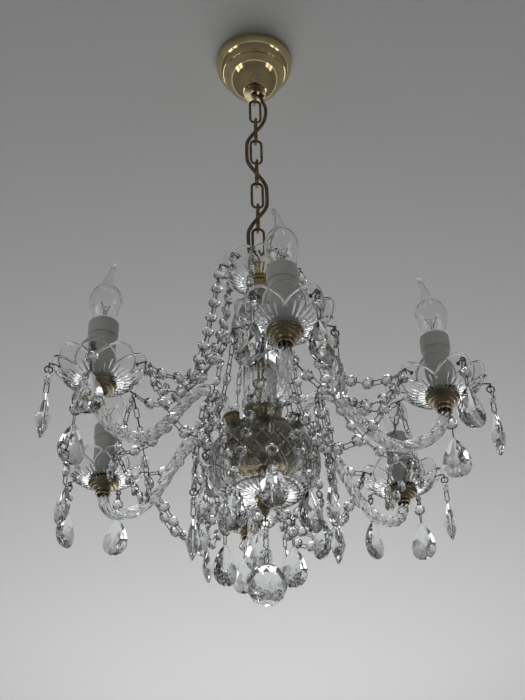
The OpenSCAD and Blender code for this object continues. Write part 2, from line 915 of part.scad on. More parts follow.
module lampholders() {
    top = holder_top;
    base = dish_floor + seat;
    color(white)
        at_candles()
            difference() {
                union() {
                    translate([0, 0, base])
                        cylinder(h = 6, r = holder_r - 1);
                    translate([0, 0, base + 5])
                        cylinder(h = top - base - 32, r = 6);
                    translate([0, 0, top - 32])
                        cylinder(h = 32, r = holder_r);
                }
                translate([0, 0, base - over])
                    cylinder(h = 9 + over, r = tube_bore);
                translate([0, 0, top - 26])
                    cylinder(h = 26 + over, r = cap_r + fit);
            }
}

// White candle tube with the thicker collar round its top
module candle_sleeves() {
    color(white)
        at_candles()
            translate([0, 0, sleeve_z])
                difference() {
                    union() {
                        cylinder(h = candle_h, r = candle_r);
                        translate([0, 0, candle_h - collar_h])
                            cylinder(h = collar_h, r = candle_r + collar_extra);
                    }
                    translate([0, 0, -over])
                        cylinder(h = candle_h + 2 * over, r = candle_r - sleeve_wall);
                }
}

// Glass of a flame bulb as [radius, height] above its base, up to its bent tip
function bulb_outline(inset) = [
    [0, inset], [7.8 - inset, inset], [8.5 - inset, 0.045 * bulb_h], [11 - inset, 0.1 * bulb_h],
    [bulb_r - 3.4 - inset, 0.17 * bulb_h], [bulb_r - 1.2 - inset, 0.26 * bulb_h],
    [bulb_r - inset, 0.36 * bulb_h], [bulb_r - 0.9 - inset, 0.45 * bulb_h],
    [bulb_r - 3.4 - inset, 0.53 * bulb_h], [bulb_r - 6.8 - inset, 0.59 * bulb_h],
    [bulb_r - 9.6 - inset * 0.8, 0.65 * bulb_h], [bulb_r - 12 - inset, tip_z - inset],
    [0, tip_z - inset]
];

// A tapering glass neck of short cones, each bent a little further than the one below it
module neck(r, cones) {
    length = 0.065 * bulb_h;
    cylinder(h = length, r1 = r, r2 = 0.84 * r);
    if (cones > 1)
        translate([0, 0, length - 0.25 * r])
            rotate([0, 9, 0])
                neck(0.79 * r, cones - 1);
}

// Flame bulb with a bent tip, its screw cap and the filament on its glass stem
module bulb(k) {
    rotate(arm_angle(k))
        translate([arm_reach, 0, bulb_base])
            rotate(BULB_TURN[k]) {
                color(crystal) {
                    difference() {
                        rotate_extrude()
                            polygon(bulb_outline(0));
                        rotate_extrude()
                            polygon(bulb_outline(1));
                    }
                    translate([0, 0, tip_z - 0.5])
                        neck(bulb_r - 12.2, 5);
                    translate([0, 0, 1])
                        cylinder(h = glass_stem_h, r1 = 4, r2 = 1.5);
                }
                color(brass)
                    translate([0, 0, -cap_h])
                        cylinder(h = cap_h - seat, r = cap_r);
                color(steel) {
                    translate([0, 0, filament_z])
                        rotate([90, 0, 0])
                            rotate_extrude(angle = 180)
                                translate([filament_r, 0])
                                    circle(0.4, $fn = 16);
                    for (side = [-1, 1])
                        rod([side, 0, glass_stem_h + 1.6], [side * filament_r, 0, filament_z - fit], 0.4);
                }
            }
}

module bulb_1() { bulb(0); }
module bulb_2() { bulb(1); }
module bulb_3() { bulb(2); }
module bulb_4() { bulb(3); }
module bulb_5() { bulb(4); }
module bulb_6() { bulb(5); }

// Crystals

// Hanging ring, octagons on clips and a crystal below an eye. The origin is the eye's bottom wire.
module hanger(beads = 1) {
    ring_z = ring_hang - ring_r;
    bead_top = ring_z - ring_r - wire_r - seat;
    color(steel)
        translate([0, 0, ring_z])
            ring_y(ring_r, wire_r);
    for (i = [0 : beads - 1])
        translate([0, 0, bead_top - i * bead_pitch]) {
            color(crystal)
                translate([0, 0, -bead_w / 2])
                    rotate(90)
                        bead();
            color(steel)
                rod([0, 0, -bead_w - seat], [0, 0, -bead_pitch + seat], clip_r);
        }
    color(crystal)
        translate([0, 0, bead_top - beads * bead_pitch])
            children();
}

module pear_hanger() {
    hanger()
        rotate(90)
            pear();
}

module dish_pendant(k, j) {
    rotate(arm_angle(k))
        translate([arm_reach, 0, dish_base + hole_rise - eye_drop])
            rotate(hole_angle(k, j))
                translate([eye_out, 0, 0])
                    pear_hanger();
}

module pendant_1a() { dish_pendant(0, 0); }
module pendant_1b() { dish_pendant(0, 1); }
module pendant_1c() { dish_pendant(0, -1); }
module pendant_2a() { dish_pendant(1, 0); }
module pendant_2b() { dish_pendant(1, 1); }
module pendant_2c() { dish_pendant(1, -1); }
module pendant_3a() { dish_pendant(2, 0); }
module pendant_3b() { dish_pendant(2, 1); }
module pendant_3c() { dish_pendant(2, -1); }
module pendant_4a() { dish_pendant(3, 0); }
module pendant_4b() { dish_pendant(3, 1); }
module pendant_4c() { dish_pendant(3, -1); }
module pendant_5a() { dish_pendant(4, 0); }
module pendant_5b() { dish_pendant(4, 1); }
module pendant_5c() { dish_pendant(4, -1); }
module pendant_6a() { dish_pendant(5, 0); }
module pendant_6b() { dish_pendant(5, 1); }
module pendant_6c() { dish_pendant(5, -1); }

module ball() {
    translate([0, 0, ball_eye_z - eye_r])
        hanger(beads = 2)
            translate([0, 0, -ball_d / 2 * sin(66)])
                cut_ball();
}

// Strands from the top dish to the two inner holes of each drip dish
module top_garlands() {
    for (k = ARMS, side = [-1, 1]) {
        from = top_eye_point(k * ARM_STEP + side * 180 / TOP_LOBES);
        to = eye_wire(k, side * 2, from - eye_point(k, side * 2));
        low = spun([arm_peak_r + 2, side * 30, -8], arm_angle(k));
        color(crystal)
            strand([for (i = [0 : 40]) quad_bezier(from, low, to, i / 40)], tail = 8,
                to_gap = eye_clear);
    }
}

// Two strands from each drip dish to the next. The lower one starts with a length of bare wire.
module side_garlands() {
    for (k = ARMS, lower = [0, 1]) {
        next = (k + 1) % ARM_COUNT;
        span = eye_point(next, -2) + eye_point(k, 2);
        out = unit([span.x, span.y, 0]);
        from = lower == 0 ? eye_wire(k, 2, out) : eye_point(k, 2);
        to = lower == 0 ? eye_wire(next, -2, out) : eye_point(next, -2);
        low = (from + to) / 2 - 2 * (swag_sag + lower * swag_drop) * [0, 0, 1]
            + (lower == 0 ? swag_out : -swag_in) * out;
        bare = 1.6 * bead_pitch * lower;
        color(crystal)
            strand([for (i = [0 : 40]) quad_bezier(from, low, to, i / 40)], lead = bare, tail = bare,
                from_gap = eye_clear, to_gap = eye_clear);
    }
}

function skirt_point(a, z) = spun([skirt_r, 0, z], a - 90);

// Wire rings round the arches of the arms, with a straight string and two swags from each
module bowl_garlands() {
    ring = arm_r + fit + wire_r;
    for (k = ARMS) {
        a = k * ARM_STEP;
        color(steel)
            rotate(arm_angle(k))
                translate([arm_peak_r, 0, arm_peak])
                    ring_x(ring, wire_r);
        color(crystal) {
            strand([for (i = [0 : 10]) mix(spun([arm_peak_r, 0, arm_peak - ring], a - 90),
                skirt_point(a, skirt_arm_z), i / 10)], lead = 6, to_gap = ring_hang + wire_r + seat);
            for (side = [-1, 1])
                strand([for (i = [0 : 40]) cubic_bezier(
                    spun([arm_peak_r, side * ring * 0.7, arm_peak - ring * 0.7], a - 90),
                    spun([arm_peak_r + 3, side * 26, arm_peak - 22], a - 90),
                    spun([skirt_r - 2, side * 20, skirt_mid_z + 10], a - 90),
                    skirt_point(a + side * (ARM_STEP / 2 - 0.25), skirt_mid_z + ring_hang), i / 40)]);
        }
    }
}

// Pear pendants round the bowl, under the arms and between them
module bowl_pendants() {
    for (i = [0 : 2 * ARM_COUNT - 1])
        translate(skirt_point(i * ARM_STEP / 2, i % 2 == 0 ? skirt_arm_z : skirt_mid_z))
            rotate(i * ARM_STEP / 2 - 90)
                pear_hanger();
}

module in_body() {
    translate([0, 0, -drop])
        children();
}

ceiling_bracket();
terminal_block();
ceiling_rose();
rose_nut();
rose_loop();
chain_links();
flex();
in_body() top_loop();
in_body() top_cap();
in_body() top_dish();
in_body() top_dish_cup();
in_body() vase();
in_body() column();
in_body() column_cap();
in_body() stem();
in_body() stem_collar();
in_body() hub();
in_body() bowl();
in_body() finial();
in_body() arm_1();
in_body() arm_2();
in_body() arm_3();
in_body() arm_4();
in_body() arm_5();
in_body() arm_6();
in_body() arm_ferrules();
in_body() candle_cups();
in_body() drip_dishes();
in_body() dish_pins();
in_body() lampholders();
in_body() candle_sleeves();
in_body() top_garlands();
in_body() side_garlands();
in_body() bowl_garlands();
in_body() bowl_pendants();
in_body() ball();
in_body() bulb_1();
in_body() bulb_2();
in_body() bulb_3();
in_body() bulb_4();
in_body() bulb_5();
in_body() bulb_6();
in_body() pendant_1a();
in_body() pendant_1b();
in_body() pendant_1c();
in_body() pendant_2a();
in_body() pendant_2b();
in_body() pendant_2c();
in_body() pendant_3a();
in_body() pendant_3b();
in_body() pendant_3c();
in_body() pendant_4a();
in_body() pendant_4b();
in_body() pendant_4c();
in_body() pendant_5a();
in_body() pendant_5b();
in_body() pendant_5c();
in_body() pendant_6a();
in_body() pendant_6b();
in_body() pendant_6c();
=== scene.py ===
"""The looks of a six-arm crystal chandelier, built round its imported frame."""

import math

import bmesh
import bpy
from bpy.props import FloatProperty, FloatVectorProperty, IntProperty, PointerProperty
from mathutils import Matrix, Quaternion, Vector


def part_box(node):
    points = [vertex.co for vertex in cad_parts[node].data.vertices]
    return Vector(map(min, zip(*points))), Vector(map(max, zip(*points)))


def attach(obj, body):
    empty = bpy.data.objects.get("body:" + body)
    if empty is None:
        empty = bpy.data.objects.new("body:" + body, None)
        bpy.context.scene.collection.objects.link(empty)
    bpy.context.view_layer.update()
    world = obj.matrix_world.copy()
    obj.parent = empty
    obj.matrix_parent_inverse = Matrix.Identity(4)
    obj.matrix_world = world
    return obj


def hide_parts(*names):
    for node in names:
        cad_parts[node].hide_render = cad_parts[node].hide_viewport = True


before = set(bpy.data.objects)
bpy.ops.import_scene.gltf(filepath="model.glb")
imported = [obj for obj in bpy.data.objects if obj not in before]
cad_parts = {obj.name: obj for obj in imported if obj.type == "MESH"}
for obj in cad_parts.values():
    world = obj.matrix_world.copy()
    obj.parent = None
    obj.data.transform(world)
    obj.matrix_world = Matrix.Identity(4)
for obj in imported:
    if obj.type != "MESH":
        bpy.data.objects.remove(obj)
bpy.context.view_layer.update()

bl_info = {
    "name": "Crystal chandelier",
    "version": (1, 0, 0),
    "blender": (4, 5, 0),
    "location": "3D view > Sidebar > Chandelier",
    "description": "Makes the brass, glass and crystals of a six-arm chandelier",
    "category": "Object",
}

ARMS = range(6)
# Pins round a drip dish and round the top dish, and degrees from one to the next
PINS = 5
PIN_STEP = 72
TOP_PINS = 12
TOP_PIN_STEP = 30
# Turn of each drip dish on its cup, and of each bulb in its holder, in degrees
DISH_TURN = (30, 24, 24, 0, -6, -18)
BULB_TURN = (-100, 180, 160, 60, 20, 185)
# Places that the part's source gives, in millimetres from the level of the candle cups
REACH = 205
DISH_BASE = 3
PIN_RISE = 15
EYE_OUT = 51.5
EYE_Z = 12.8
TOP_DISH_BASE = 231
TOP_EYE_Z = 240.8
SLEEVE_Z = 6.7
SLEEVE_H = 72
BULB_BASE = SLEEVE_Z + SLEEVE_H - 4
BALL_EYE_Z = -94.4
BALL = 43
ARM_ROOT = (39.5, 0, 12)
ARM_PEAK = (70, 45)
SKIRT_R = 76
SKIRT_HIGH = -38
SKIRT_LOW = -60
# Radius of the wire rings on the arms' arches
ARM_RING_R = 7.6
# Bore of the pieces that are strung on the middle tube
BORE = 5.1
# Wire of the eyes and rings, and radius of an eye
WIRE = 0.8
EYE_R = 2.6
# How far the top wire of a hanging ring runs above the bottom wire of its eye
HANG = 1.9
# Length of a clip, and how far its wire reaches into a bead's hole
CLIP = 10
CLIP_REACH = 1.4
# Latitudes of the cut ball's corners, in degrees, and how far its flat top lies from its middle
BALL_RINGS = (66, 40, 14, -14, -40, -66)
BALL_TOP = BALL / 2 * math.sin(math.radians(BALL_RINGS[0]))
# Outputs of a light path node
GLOSSY_RAY, TRANSMISSION_RAY = 3, 6
# Colour of the floor and of the world beyond it, where the camera, glass or metal sees them
PALE = (0.60, 0.61, 0.62)
# Level of the candle cups in the frame, in metres, from the lowest glass of the drip dishes
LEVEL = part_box("drip_dishes")[0].z - 0.001 * DISH_BASE

# From millimetres below the ceiling, or from the candle cups' level, to the frame
CEILING_FRAME = Matrix.Scale(0.001, 4)
BODY_FRAME = Matrix.Translation((0, 0, LEVEL)) @ Matrix.Scale(0.001, 4)


# ---- Nodes ----


class Value:
    """A socket of a node tree, so that maths between sockets reads as an expression."""

    def __init__(self, tree, socket):
        self.tree = tree
        self.socket = socket

    def maths(self, operation, *others):
        return self.tree.node("ShaderNodeMath", {"operation": operation}, self, *others)

    def output(self, index):
        """Another output of the node that this value comes from."""
        return Value(self.tree, self.socket.node.outputs[index])

    def __add__(self, other):
        return self.maths("ADD", other)

    def __sub__(self, other):
        return self.maths("SUBTRACT", other)

    def __rsub__(self, other):
        return self.tree.node("ShaderNodeMath", {"operation": "SUBTRACT"}, other, self)

    def __mul__(self, other):
        return self.maths("MULTIPLY", other)


class Tree:
    """A node tree that is being built, for a finish or for a geometry recipe."""

    def __init__(self, tree):
        self.tree = tree

    def feed(self, socket, value):
        """Links a value to a socket, or sets the socket to a plain one. A colour may leave out its alpha."""
        if isinstance(value, Value):
            self.tree.links.new(value.socket, socket)
        elif value is not None:
            if socket.type == "RGBA" and len(value) == 3:
                value = (*value, 1.0)
            socket.default_value = value

    def node(self, kind, settings=None, *values, named=None, output=0):
        """Adds a node with its settings, feeds its sockets in order or by name, and gives an output."""
        node = self.tree.nodes.new(kind)
        for key, value in (settings or {}).items():
            setattr(node, key, value)
        for socket, value in zip(node.inputs, values):
            self.feed(socket, value)
        for key, value in (named or {}).items():
            self.feed(node.inputs[key], value)
        return Value(self, node.outputs[output]) if len(node.outputs) else None

    def seen(self, camera, turned):
        """A factor for camera rays, and another one for rays that metal or glass has turned."""
        path = self.node("ShaderNodeLightPath")
        either = path.output(GLOSSY_RAY).maths("MAXIMUM", path.output(TRANSMISSION_RAY))
        return (path * camera).maths("MAXIMUM", either * turned)


class Finish(Tree):
    """A material that is being built, with noise over the piece's own coordinates."""

    def __init__(self, name):
        self.material = bpy.data.materials.new(name)
        self.material.use_nodes = True
        super().__init__(self.material.node_tree)
        self.tree.nodes.clear()
        self.place = self.node("ShaderNodeTexCoord", output=3)

    def noise(self, scale, detail, roughness, stretch=None):
        """Fractal noise from 0 to 1 over the piece, with features of 1 / scale metres."""
        place = self.place
        if stretch:
            place = self.node("ShaderNodeMapping", None, place, named={"Scale": stretch})
        return self.node("ShaderNodeTexNoise", {"noise_dimensions": "3D"}, place,
                         named={"Scale": scale, "Detail": detail, "Roughness": roughness})

    def fit(self, value, low, high):
        """Spreads a value that runs from about 0.3 to 0.7 over low to high."""
        return self.node("ShaderNodeMapRange", {"clamp": True}, value, 0.3, 0.7, low, high)

    def blend(self, factor, first, second):
        return self.node("ShaderNodeMix", {"data_type": "RGBA"}, output=2,
                         named={0: factor, 6: first, 7: second})

    def bump(self, height, depth, strength):
        return self.node("ShaderNodeBump", None,
                         named={"Height": height, "Distance": depth, "Strength": strength})

    def mixed(self, factor, first, second):
        """Ends the material in two shaders, mixed."""
        self.node("ShaderNodeOutputMaterial", None,
                  self.node("ShaderNodeMixShader", None, factor, first, second))

    def surface(self, **values):
        """Ends the material in a Principled surface. Its sockets are named with underscores."""
        named = {key.replace("_", " ").title().replace("Ior", "IOR"): value
                 for key, value in values.items()}
        shader = self.node("ShaderNodeBsdfPrincipled", named=named)
        self.node("ShaderNodeOutputMaterial", None, shader)
        return self.material


class Recipe(Tree):
    """A geometry node tree with named inputs after its geometry."""

    def __init__(self, name, **inputs):
        super().__init__(bpy.data.node_groups.new(name, "GeometryNodeTree"))
        sockets = self.tree.interface
        sockets.new_socket("Geometry", in_out="INPUT", socket_type="NodeSocketGeometry")
        sockets.new_socket("Geometry", in_out="OUTPUT", socket_type="NodeSocketGeometry")
        for label, kind in inputs.items():
            sockets.new_socket(label.replace("_", " ").capitalize(), in_out="INPUT",
                               socket_type="NodeSocket" + kind)
        entry = self.tree.nodes.new("NodeGroupInput")
        self.given = {s.name: Value(self, s) for s in entry.outputs if s.name}

    def finish(self, geometry):
        """Realises the instances, sets the material and closes the tree."""
        whole = self.node("GeometryNodeRealizeInstances", None, geometry)
        dressed = self.node("GeometryNodeSetMaterial", None, whole,
                            named={"Material": self.given["Material"]})
        self.node("NodeGroupOutput", None, dressed)
        return self.tree


def result(piece):
    """The mesh that a piece's modifiers give. They are taken off the piece."""
    graph = bpy.context.evaluated_depsgraph_get()
    graph.update()
    mesh = bpy.data.meshes.new_from_object(piece.evaluated_get(graph))
    piece.modifiers.clear()
    return mesh


def cook(piece, recipe, **values):
    """Runs a recipe on a piece and keeps the result as the piece's plain mesh."""
    modifier = piece.modifiers.new("Recipe", "NODES")
    modifier.node_group = recipe
    for item in recipe.interface.items_tree:
        key = item.name.lower().replace(" ", "_")
        if item.in_out == "INPUT" and key in values:
            modifier[item.identifier] = values[key]
    raw, piece.data = piece.data, result(piece)
    bpy.data.meshes.remove(raw)
    piece.data.name = piece.name


# ---- Mesh parts: a part is a list of points, a list of faces and a list of face finishes ----


def part(points, faces, finish=0):
    """A mesh part whose faces all have one finish, a number in its piece's list of materials."""
    return [Vector(p) for p in points], [tuple(f) for f in faces], [finish] * len(faces)


def moved(mesh_part, matrix):
    points, faces, numbers = mesh_part
    return [matrix @ p for p in points], faces, numbers


def joined(*parts):
    points, faces, numbers = [], [], []
    for more_points, more_faces, more_numbers in parts:
        first = len(points)
        points += more_points
        faces += [tuple(i + first for i in f) for f in more_faces]
        numbers += more_numbers
    return points, faces, numbers


def shift(x, y, z):
    return Matrix.Translation((x, y, z))


def turn_z(degrees):
    return Matrix.Rotation(math.radians(degrees), 4, "Z")


def turn_y(degrees):
    return Matrix.Rotation(math.radians(degrees), 4, "Y")


def put(name, mesh):
    """Links a mesh into the scene as an object at the origin."""
    piece = bpy.data.objects.new(name, mesh)
    bpy.context.scene.collection.objects.link(piece)
    return piece


def smooth(mesh, angle):
    """Smooth shading whose edges sharper than an angle in degrees stay sharp."""
    mesh.shade_smooth()
    mesh.set_sharp_from_angle(angle=math.radians(angle))


def new_piece(name, mesh_part, materials, angle=35, uvs=None, hollow=False):
    """A mesh object at the origin. Edges sharper than the angle stay sharp, and 0 keeps facets flat.

    The faces are turned outwards, unless a hollow shell already has each wall's right side out."""
    points, faces, numbers = mesh_part
    mesh = bpy.data.meshes.new(name)
    mesh.from_pydata(points, [], faces)
    for material in materials:
        mesh.materials.append(material)
    mesh.polygons.foreach_set("material_index", numbers)
    if uvs:
        layer = mesh.uv_layers.new(name="Cuts")
        layer.data.foreach_set("uv", [c for face in uvs for corner in face for c in corner])
    if not hollow:
        work = bmesh.new()
        work.from_mesh(mesh)
        bmesh.ops.recalc_face_normals(work, faces=work.faces)
        work.to_mesh(mesh)
        work.free()
    if angle:
        smooth(mesh, angle)
    mesh.update()
    return put(name, mesh)


def flowing(points, steps=5):
    """A smooth run through (radius, height) points. A third item marks a corner."""
    runs, run = [], [points[0]]
    for point in points[1:]:
        run.append(point)
        if len(point) > 2:
            runs.append(run)
            run = [point]
    if len(run) > 1:
        runs.append(run)
    line = []
    for run in runs:
        knots = [Vector(p[:2]) for p in run]
        if len(knots) == 2:
            line += knots
            continue
        knots = [2 * knots[0] - knots[1]] + knots + [2 * knots[-1] - knots[-2]]
        for a, b, c, d in zip(knots, knots[1:], knots[2:], knots[3:]):
            for step in range(steps):
                t = step / steps
                line.append(0.5 * (2 * b + (c - a) * t + (2 * a - 5 * b + 4 * c - d) * t * t
                                   + (3 * b - a - 3 * c + d) * t ** 3))
        line.append(knots[-2])
    return [p for i, p in enumerate(line) if i == 0 or (p - line[i - 1]).length > 0.02]


def lathe(line, segments, finish=0, lean=None):
    """A part turned round Z from (radius, height) points. It closes at the axis or on itself.

    Lean gives how far the axis has moved along X at a height."""
    points, rows = [], []
    for radius, height in line:
        around = range(segments) if radius > 0.001 else range(1)
        rows.append([len(points) + i for i in around])
        aside = lean(height) if lean else 0
        points += [(aside + radius * math.cos(math.tau * i / segments),
                    radius * math.sin(math.tau * i / segments), height) for i in around]
    faces = []
    closes = len(rows[0]) > 1 and len(rows[-1]) > 1
    for a, b in zip(rows, rows[1:] + ([rows[0]] if closes else [])):
        for i in range(segments):
            j = (i + 1) % segments
            if len(a) > 1 and len(b) > 1:
                faces.append((a[i], a[j], b[j], b[i]))
            elif len(a) > 1:
                faces.append((a[i], a[j], b[0]))
            elif len(b) > 1:
                faces.append((a[0], b[j], b[i]))
    return part(points, faces, finish)


def tube(path, radius, sides, closed=False, finish=0):
    """A round wire along a path of points. An open wire has flat ends."""
    path = [Vector(p) for p in path]
    count = len(path)
    points, normal = [], None
    for i, point in enumerate(path):
        ahead = path[(i + 1) % count] if closed or i + 1 < count else point
        behind = path[i - 1] if closed or i > 0 else point
        forward = (ahead - behind).normalized()
        if normal is None:
            normal = forward.orthogonal()
        normal = (normal - normal.dot(forward) * forward).normalized()
        side = forward.cross(normal)
        for s in range(sides):
            a = math.tau * s / sides
            points.append(point + radius * (math.cos(a) * normal + math.sin(a) * side))
    faces = []
    for i in range(count if closed else count - 1):
        for s in range(sides):
            t = (s + 1) % sides
            j = (i + 1) % count
            faces.append((i * sides + s, i * sides + t, j * sides + t, j * sides + s))
    if not closed:
        faces.append(tuple(reversed(range(sides))))
        faces.append(tuple(range((count - 1) * sides, count * sides)))
    return part(points, faces, finish)


def ring(radius, wire, segments, sides=8, axis="X", finish=0):
    """A wire ring round the X or Y axis, at the origin."""
    spots = [(math.cos(math.tau * i / segments) * radius, math.sin(math.tau * i / segments) * radius)
             for i in range(segments)]
    path = [(0, a, b) if axis == "X" else (a, 0, b) for a, b in spots]
    return tube(path, wire, sides, closed=True, finish=finish)


def facets(levels, front, back):
    """A crystal from closed rings of points between two middle points, joined by triangles.

    A ring has as many points as the one before it, twice as many or half as many."""
    points = [front]
    faces = []
    rows = []
    for level in levels:
        rows.append(list(range(len(points), len(points) + len(level))))
        points += level
    points.append(back)
    for i, spot in enumerate(rows[0]):
        faces.append((0, spot, rows[0][(i + 1) % len(rows[0])]))
    for a, b in zip(rows, rows[1:]):
        n, m = len(a), len(b)
        if n == m:
            for i in range(n):
                j = (i + 1) % n
                faces += [(a[i], b[i], a[j]), (a[j], b[i], b[j])]
        elif m == 2 * n:
            for i in range(n):
                j = (i + 1) % n
                left, mid, right = b[2 * i], b[2 * i + 1], b[(2 * i + 2) % m]
                faces += [(a[i], left, mid), (a[i], mid, a[j]), (a[j], mid, right)]
        else:
            for i in range(m):
                j = (i + 1) % m
                left, mid, right = a[2 * i], a[2 * i + 1], a[(2 * i + 2) % n]
                faces += [(left, b[i], mid), (b[i], b[j], mid), (b[j], right, mid)]
    for i, spot in enumerate(rows[-1]):
        faces.append((len(points) - 1, rows[-1][(i + 1) % len(rows[-1])], spot))
    return part(points, faces)


def dress(piece, body, slot, *nodes):
    """Makes a piece ride on its body and stand for its CAD nodes."""
    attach(piece, body)
    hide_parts(*nodes)


def paint(node, material):
    """Gives a CAD node that stays in view its material."""
    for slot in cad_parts[node].material_slots:
        slot.material = material


def rounded_copy(node, material, width):
    """A copy of a CAD node with its doubles merged and its edges rounded by a width in millimetres."""
    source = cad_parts[node]
    mesh = source.data.copy()
    mesh.materials.clear()
    mesh.materials.append(material)
    for face in mesh.polygons:
        face.material_index = 0
    work = bmesh.new()
    work.from_mesh(mesh)
    bmesh.ops.remove_doubles(work, verts=work.verts, dist=1e-6)
    bmesh.ops.dissolve_limit(work, angle_limit=math.radians(1), verts=work.verts, edges=work.edges)
    work.to_mesh(mesh)
    work.free()
    piece = put(node + "_rounded", mesh)
    bevel = piece.modifiers.new("Bevel", "BEVEL")
    bevel.width = 0.001 * width
    bevel.segments = 2
    bevel.limit_method = "ANGLE"
    bevel.angle_limit = math.radians(40)
    piece.data = result(piece)
    smooth(piece.data, 35)
    return piece


def arm_turn(k):
    """Degrees from the X axis to an arm. The first arm points along -Y."""
    return 60 * k - 90


def arm_frame(k):
    """From millimetres along an arm, out in X, to the frame."""
    return BODY_FRAME @ turn_z(arm_turn(k))


def pin_turn(k, j):
    """Degrees from an arm's direction to a pin of its drip dish."""
    return DISH_TURN[k] + PIN_STEP * j


def candle_frame(k, turn=0):
    """From millimetres round a candle's axis, turned by some degrees, to the frame."""
    return arm_frame(k) @ shift(REACH, 0, 0) @ turn_z(turn)


# ---- Strings of beads ----


def mix(a, b, t):
    return a + (b - a) * t


def clamp(value):
    return max(0.0, min(1.0, value))


def bezier(knots, t):
    """A place on the Bezier curve of any number of knots."""
    knots = [Vector(k) for k in knots]
    while len(knots) > 1:
        knots = [mix(a, b, t) for a, b in zip(knots, knots[1:])]
    return knots[0]


def spun(point, degrees):
    """A point turned round Z."""
    return turn_z(degrees) @ Vector(point)


def curve(*knots):
    """Places along the Bezier curve of some knots."""
    return [bezier(knots, i / 40) for i in range(41)]


class Line:
    """A curve through points, read by the length along it."""

    def __init__(self, points):
        self.points = [Vector(p) for p in points]
        self.runs = [0.0]
        for a, b in zip(self.points, self.points[1:]):
            self.runs.append(self.runs[-1] + (b - a).length)
        self.total = self.runs[-1]

    def at(self, s):
        """The place at a length along the line."""
        s = min(max(s, 0.0), self.total)
        i = 0
        while i < len(self.runs) - 2 and self.runs[i + 1] < s:
            i += 1
        span = self.runs[i + 1] - self.runs[i]
        return mix(self.points[i], self.points[i + 1], (s - self.runs[i]) / span)


def heading(direction, roll):
    """The turn that brings Z along a direction, as the part's source does it."""
    d = direction.normalized()
    return (Quaternion((0, 0, 1), math.atan2(d.y, d.x)) @ Quaternion((0, 1, 0), math.acos(d.z))
            @ Quaternion((0, 0, 1), math.radians(roll)))


class String:
    """Places of the beads and clips of strands, in millimetres in the body's frame."""

    def __init__(self, sizes):
        self.bead_w = 1000 * sizes.bead_width
        self.pitch = self.bead_w + 1000 * sizes.bead_gap
        self.beads = []
        self.clips = []

    def add(self, points, lead=0.0, tail=0.0, start=1.0, end=1.0):
        """Adds a strand. Lead and tail stay without beads, and start and end without wire."""
        line = Line(points)
        span = line.total - lead - tail
        count = max(1, int(span / self.pitch + 0.5))
        pitch = span / count
        for i in range(count):
            middle = lead + (i + 0.5) * pitch
            direction = line.at(middle + 1) - line.at(middle - 1)
            roll = 12 * math.sin(math.pi * i / max(1, count - 1))
            self.beads.append((line.at(middle), heading(direction, roll), (1, 1, 1)))
        reach = self.bead_w / 2 - CLIP_REACH
        for i in range(count + 1):
            low = start - 0.9 if i == 0 else lead + (i - 0.5) * pitch + reach
            high = line.total - end + 0.9 if i == count else lead + (i + 0.5) * pitch - reach
            links = max(1, round((high - low) / 11))
            for j in range(links):
                a = line.at(mix(low, high, j / links) - (WIRE if j else 0))
                b = line.at(mix(low, high, (j + 1) / links))
                self.clips.append(((a + b) / 2, heading(b - a, 90 * (i + j) + 20),
                                   (1, 1, (b - a).length / CLIP)))


def upright(degrees):
    """A turn round Z, as the attribute of a cloud's point."""
    return Quaternion((0, 0, 1), math.radians(degrees))


def cloud(name, places, matrix):
    """A piece of loose points, each with a turn and a stretch, from places in millimetres."""
    mesh = bpy.data.meshes.new(name)
    mesh.from_pydata([matrix @ spot for spot, _, _ in places], [], [])
    base = matrix.to_quaternion()
    turns = mesh.attributes.new("turn", "QUATERNION", "POINT")
    turns.data.foreach_set("value", [c for _, q, _ in places for c in (base @ q)])
    stretch = mesh.attributes.new("stretch", "FLOAT_VECTOR", "POINT")
    stretch.data.foreach_set("vector", [0.001 * c for _, _, s in places for c in s])
    return put(name, mesh)


def strung_recipe():
    """Puts one thing at each point, turned and stretched by the point's own values."""
    recipe = Recipe("Strung pieces", thing="Object", material="Material")
    thing = recipe.node("GeometryNodeObjectInfo", None, recipe.given["Thing"], output=4)
    turn = recipe.node("GeometryNodeInputNamedAttribute", {"data_type": "QUATERNION"}, "turn")
    stretch = recipe.node("GeometryNodeInputNamedAttribute", {"data_type": "FLOAT_VECTOR"}, "stretch")
    spots = recipe.node("GeometryNodeInstanceOnPoints", None,
                        named={"Points": recipe.given["Geometry"], "Instance": thing,
                               "Rotation": turn, "Scale": stretch})
    return recipe.finish(spots)


def twisted_recipe():
    """A ribbed rod along a line of points, turning as it goes, with rounded ribs."""
    recipe = Recipe("Twisted rod", radius="Float", ribs="Int", rib_depth="Float", turns="Float",
                    material="Material")
    given = recipe.given
    line = recipe.node("GeometryNodeMeshToCurve", None, given["Geometry"])
    along = recipe.node("GeometryNodeSplineParameter")
    line = recipe.node("GeometryNodeSetCurveTilt", None, line,
                       named={"Tilt": along * given["Turns"] * math.tau})
    around = recipe.node("GeometryNodeCurvePrimitiveCircle", {"mode": "RADIUS"},
                         named={"Resolution": 42, "Radius": 1.0})
    spot = recipe.node("GeometryNodeInputPosition")
    x = recipe.node("ShaderNodeSeparateXYZ", None, spot)
    angle = x.output(1).maths("ARCTAN2", x)
    wave = (angle * given["Ribs"]).maths("COSINE") * 0.5 + 0.5
    radius = given["Radius"] - given["Rib depth"] * (1 - wave.maths("POWER", 0.7))
    ribbed = recipe.node("ShaderNodeVectorMath", {"operation": "SCALE"}, spot, named={"Scale": radius})
    around = recipe.node("GeometryNodeSetPosition", None, around, named={"Position": ribbed})
    rod = recipe.node("GeometryNodeCurveToMesh", None, line, around, named={"Fill Caps": True})
    return recipe.finish(rod)


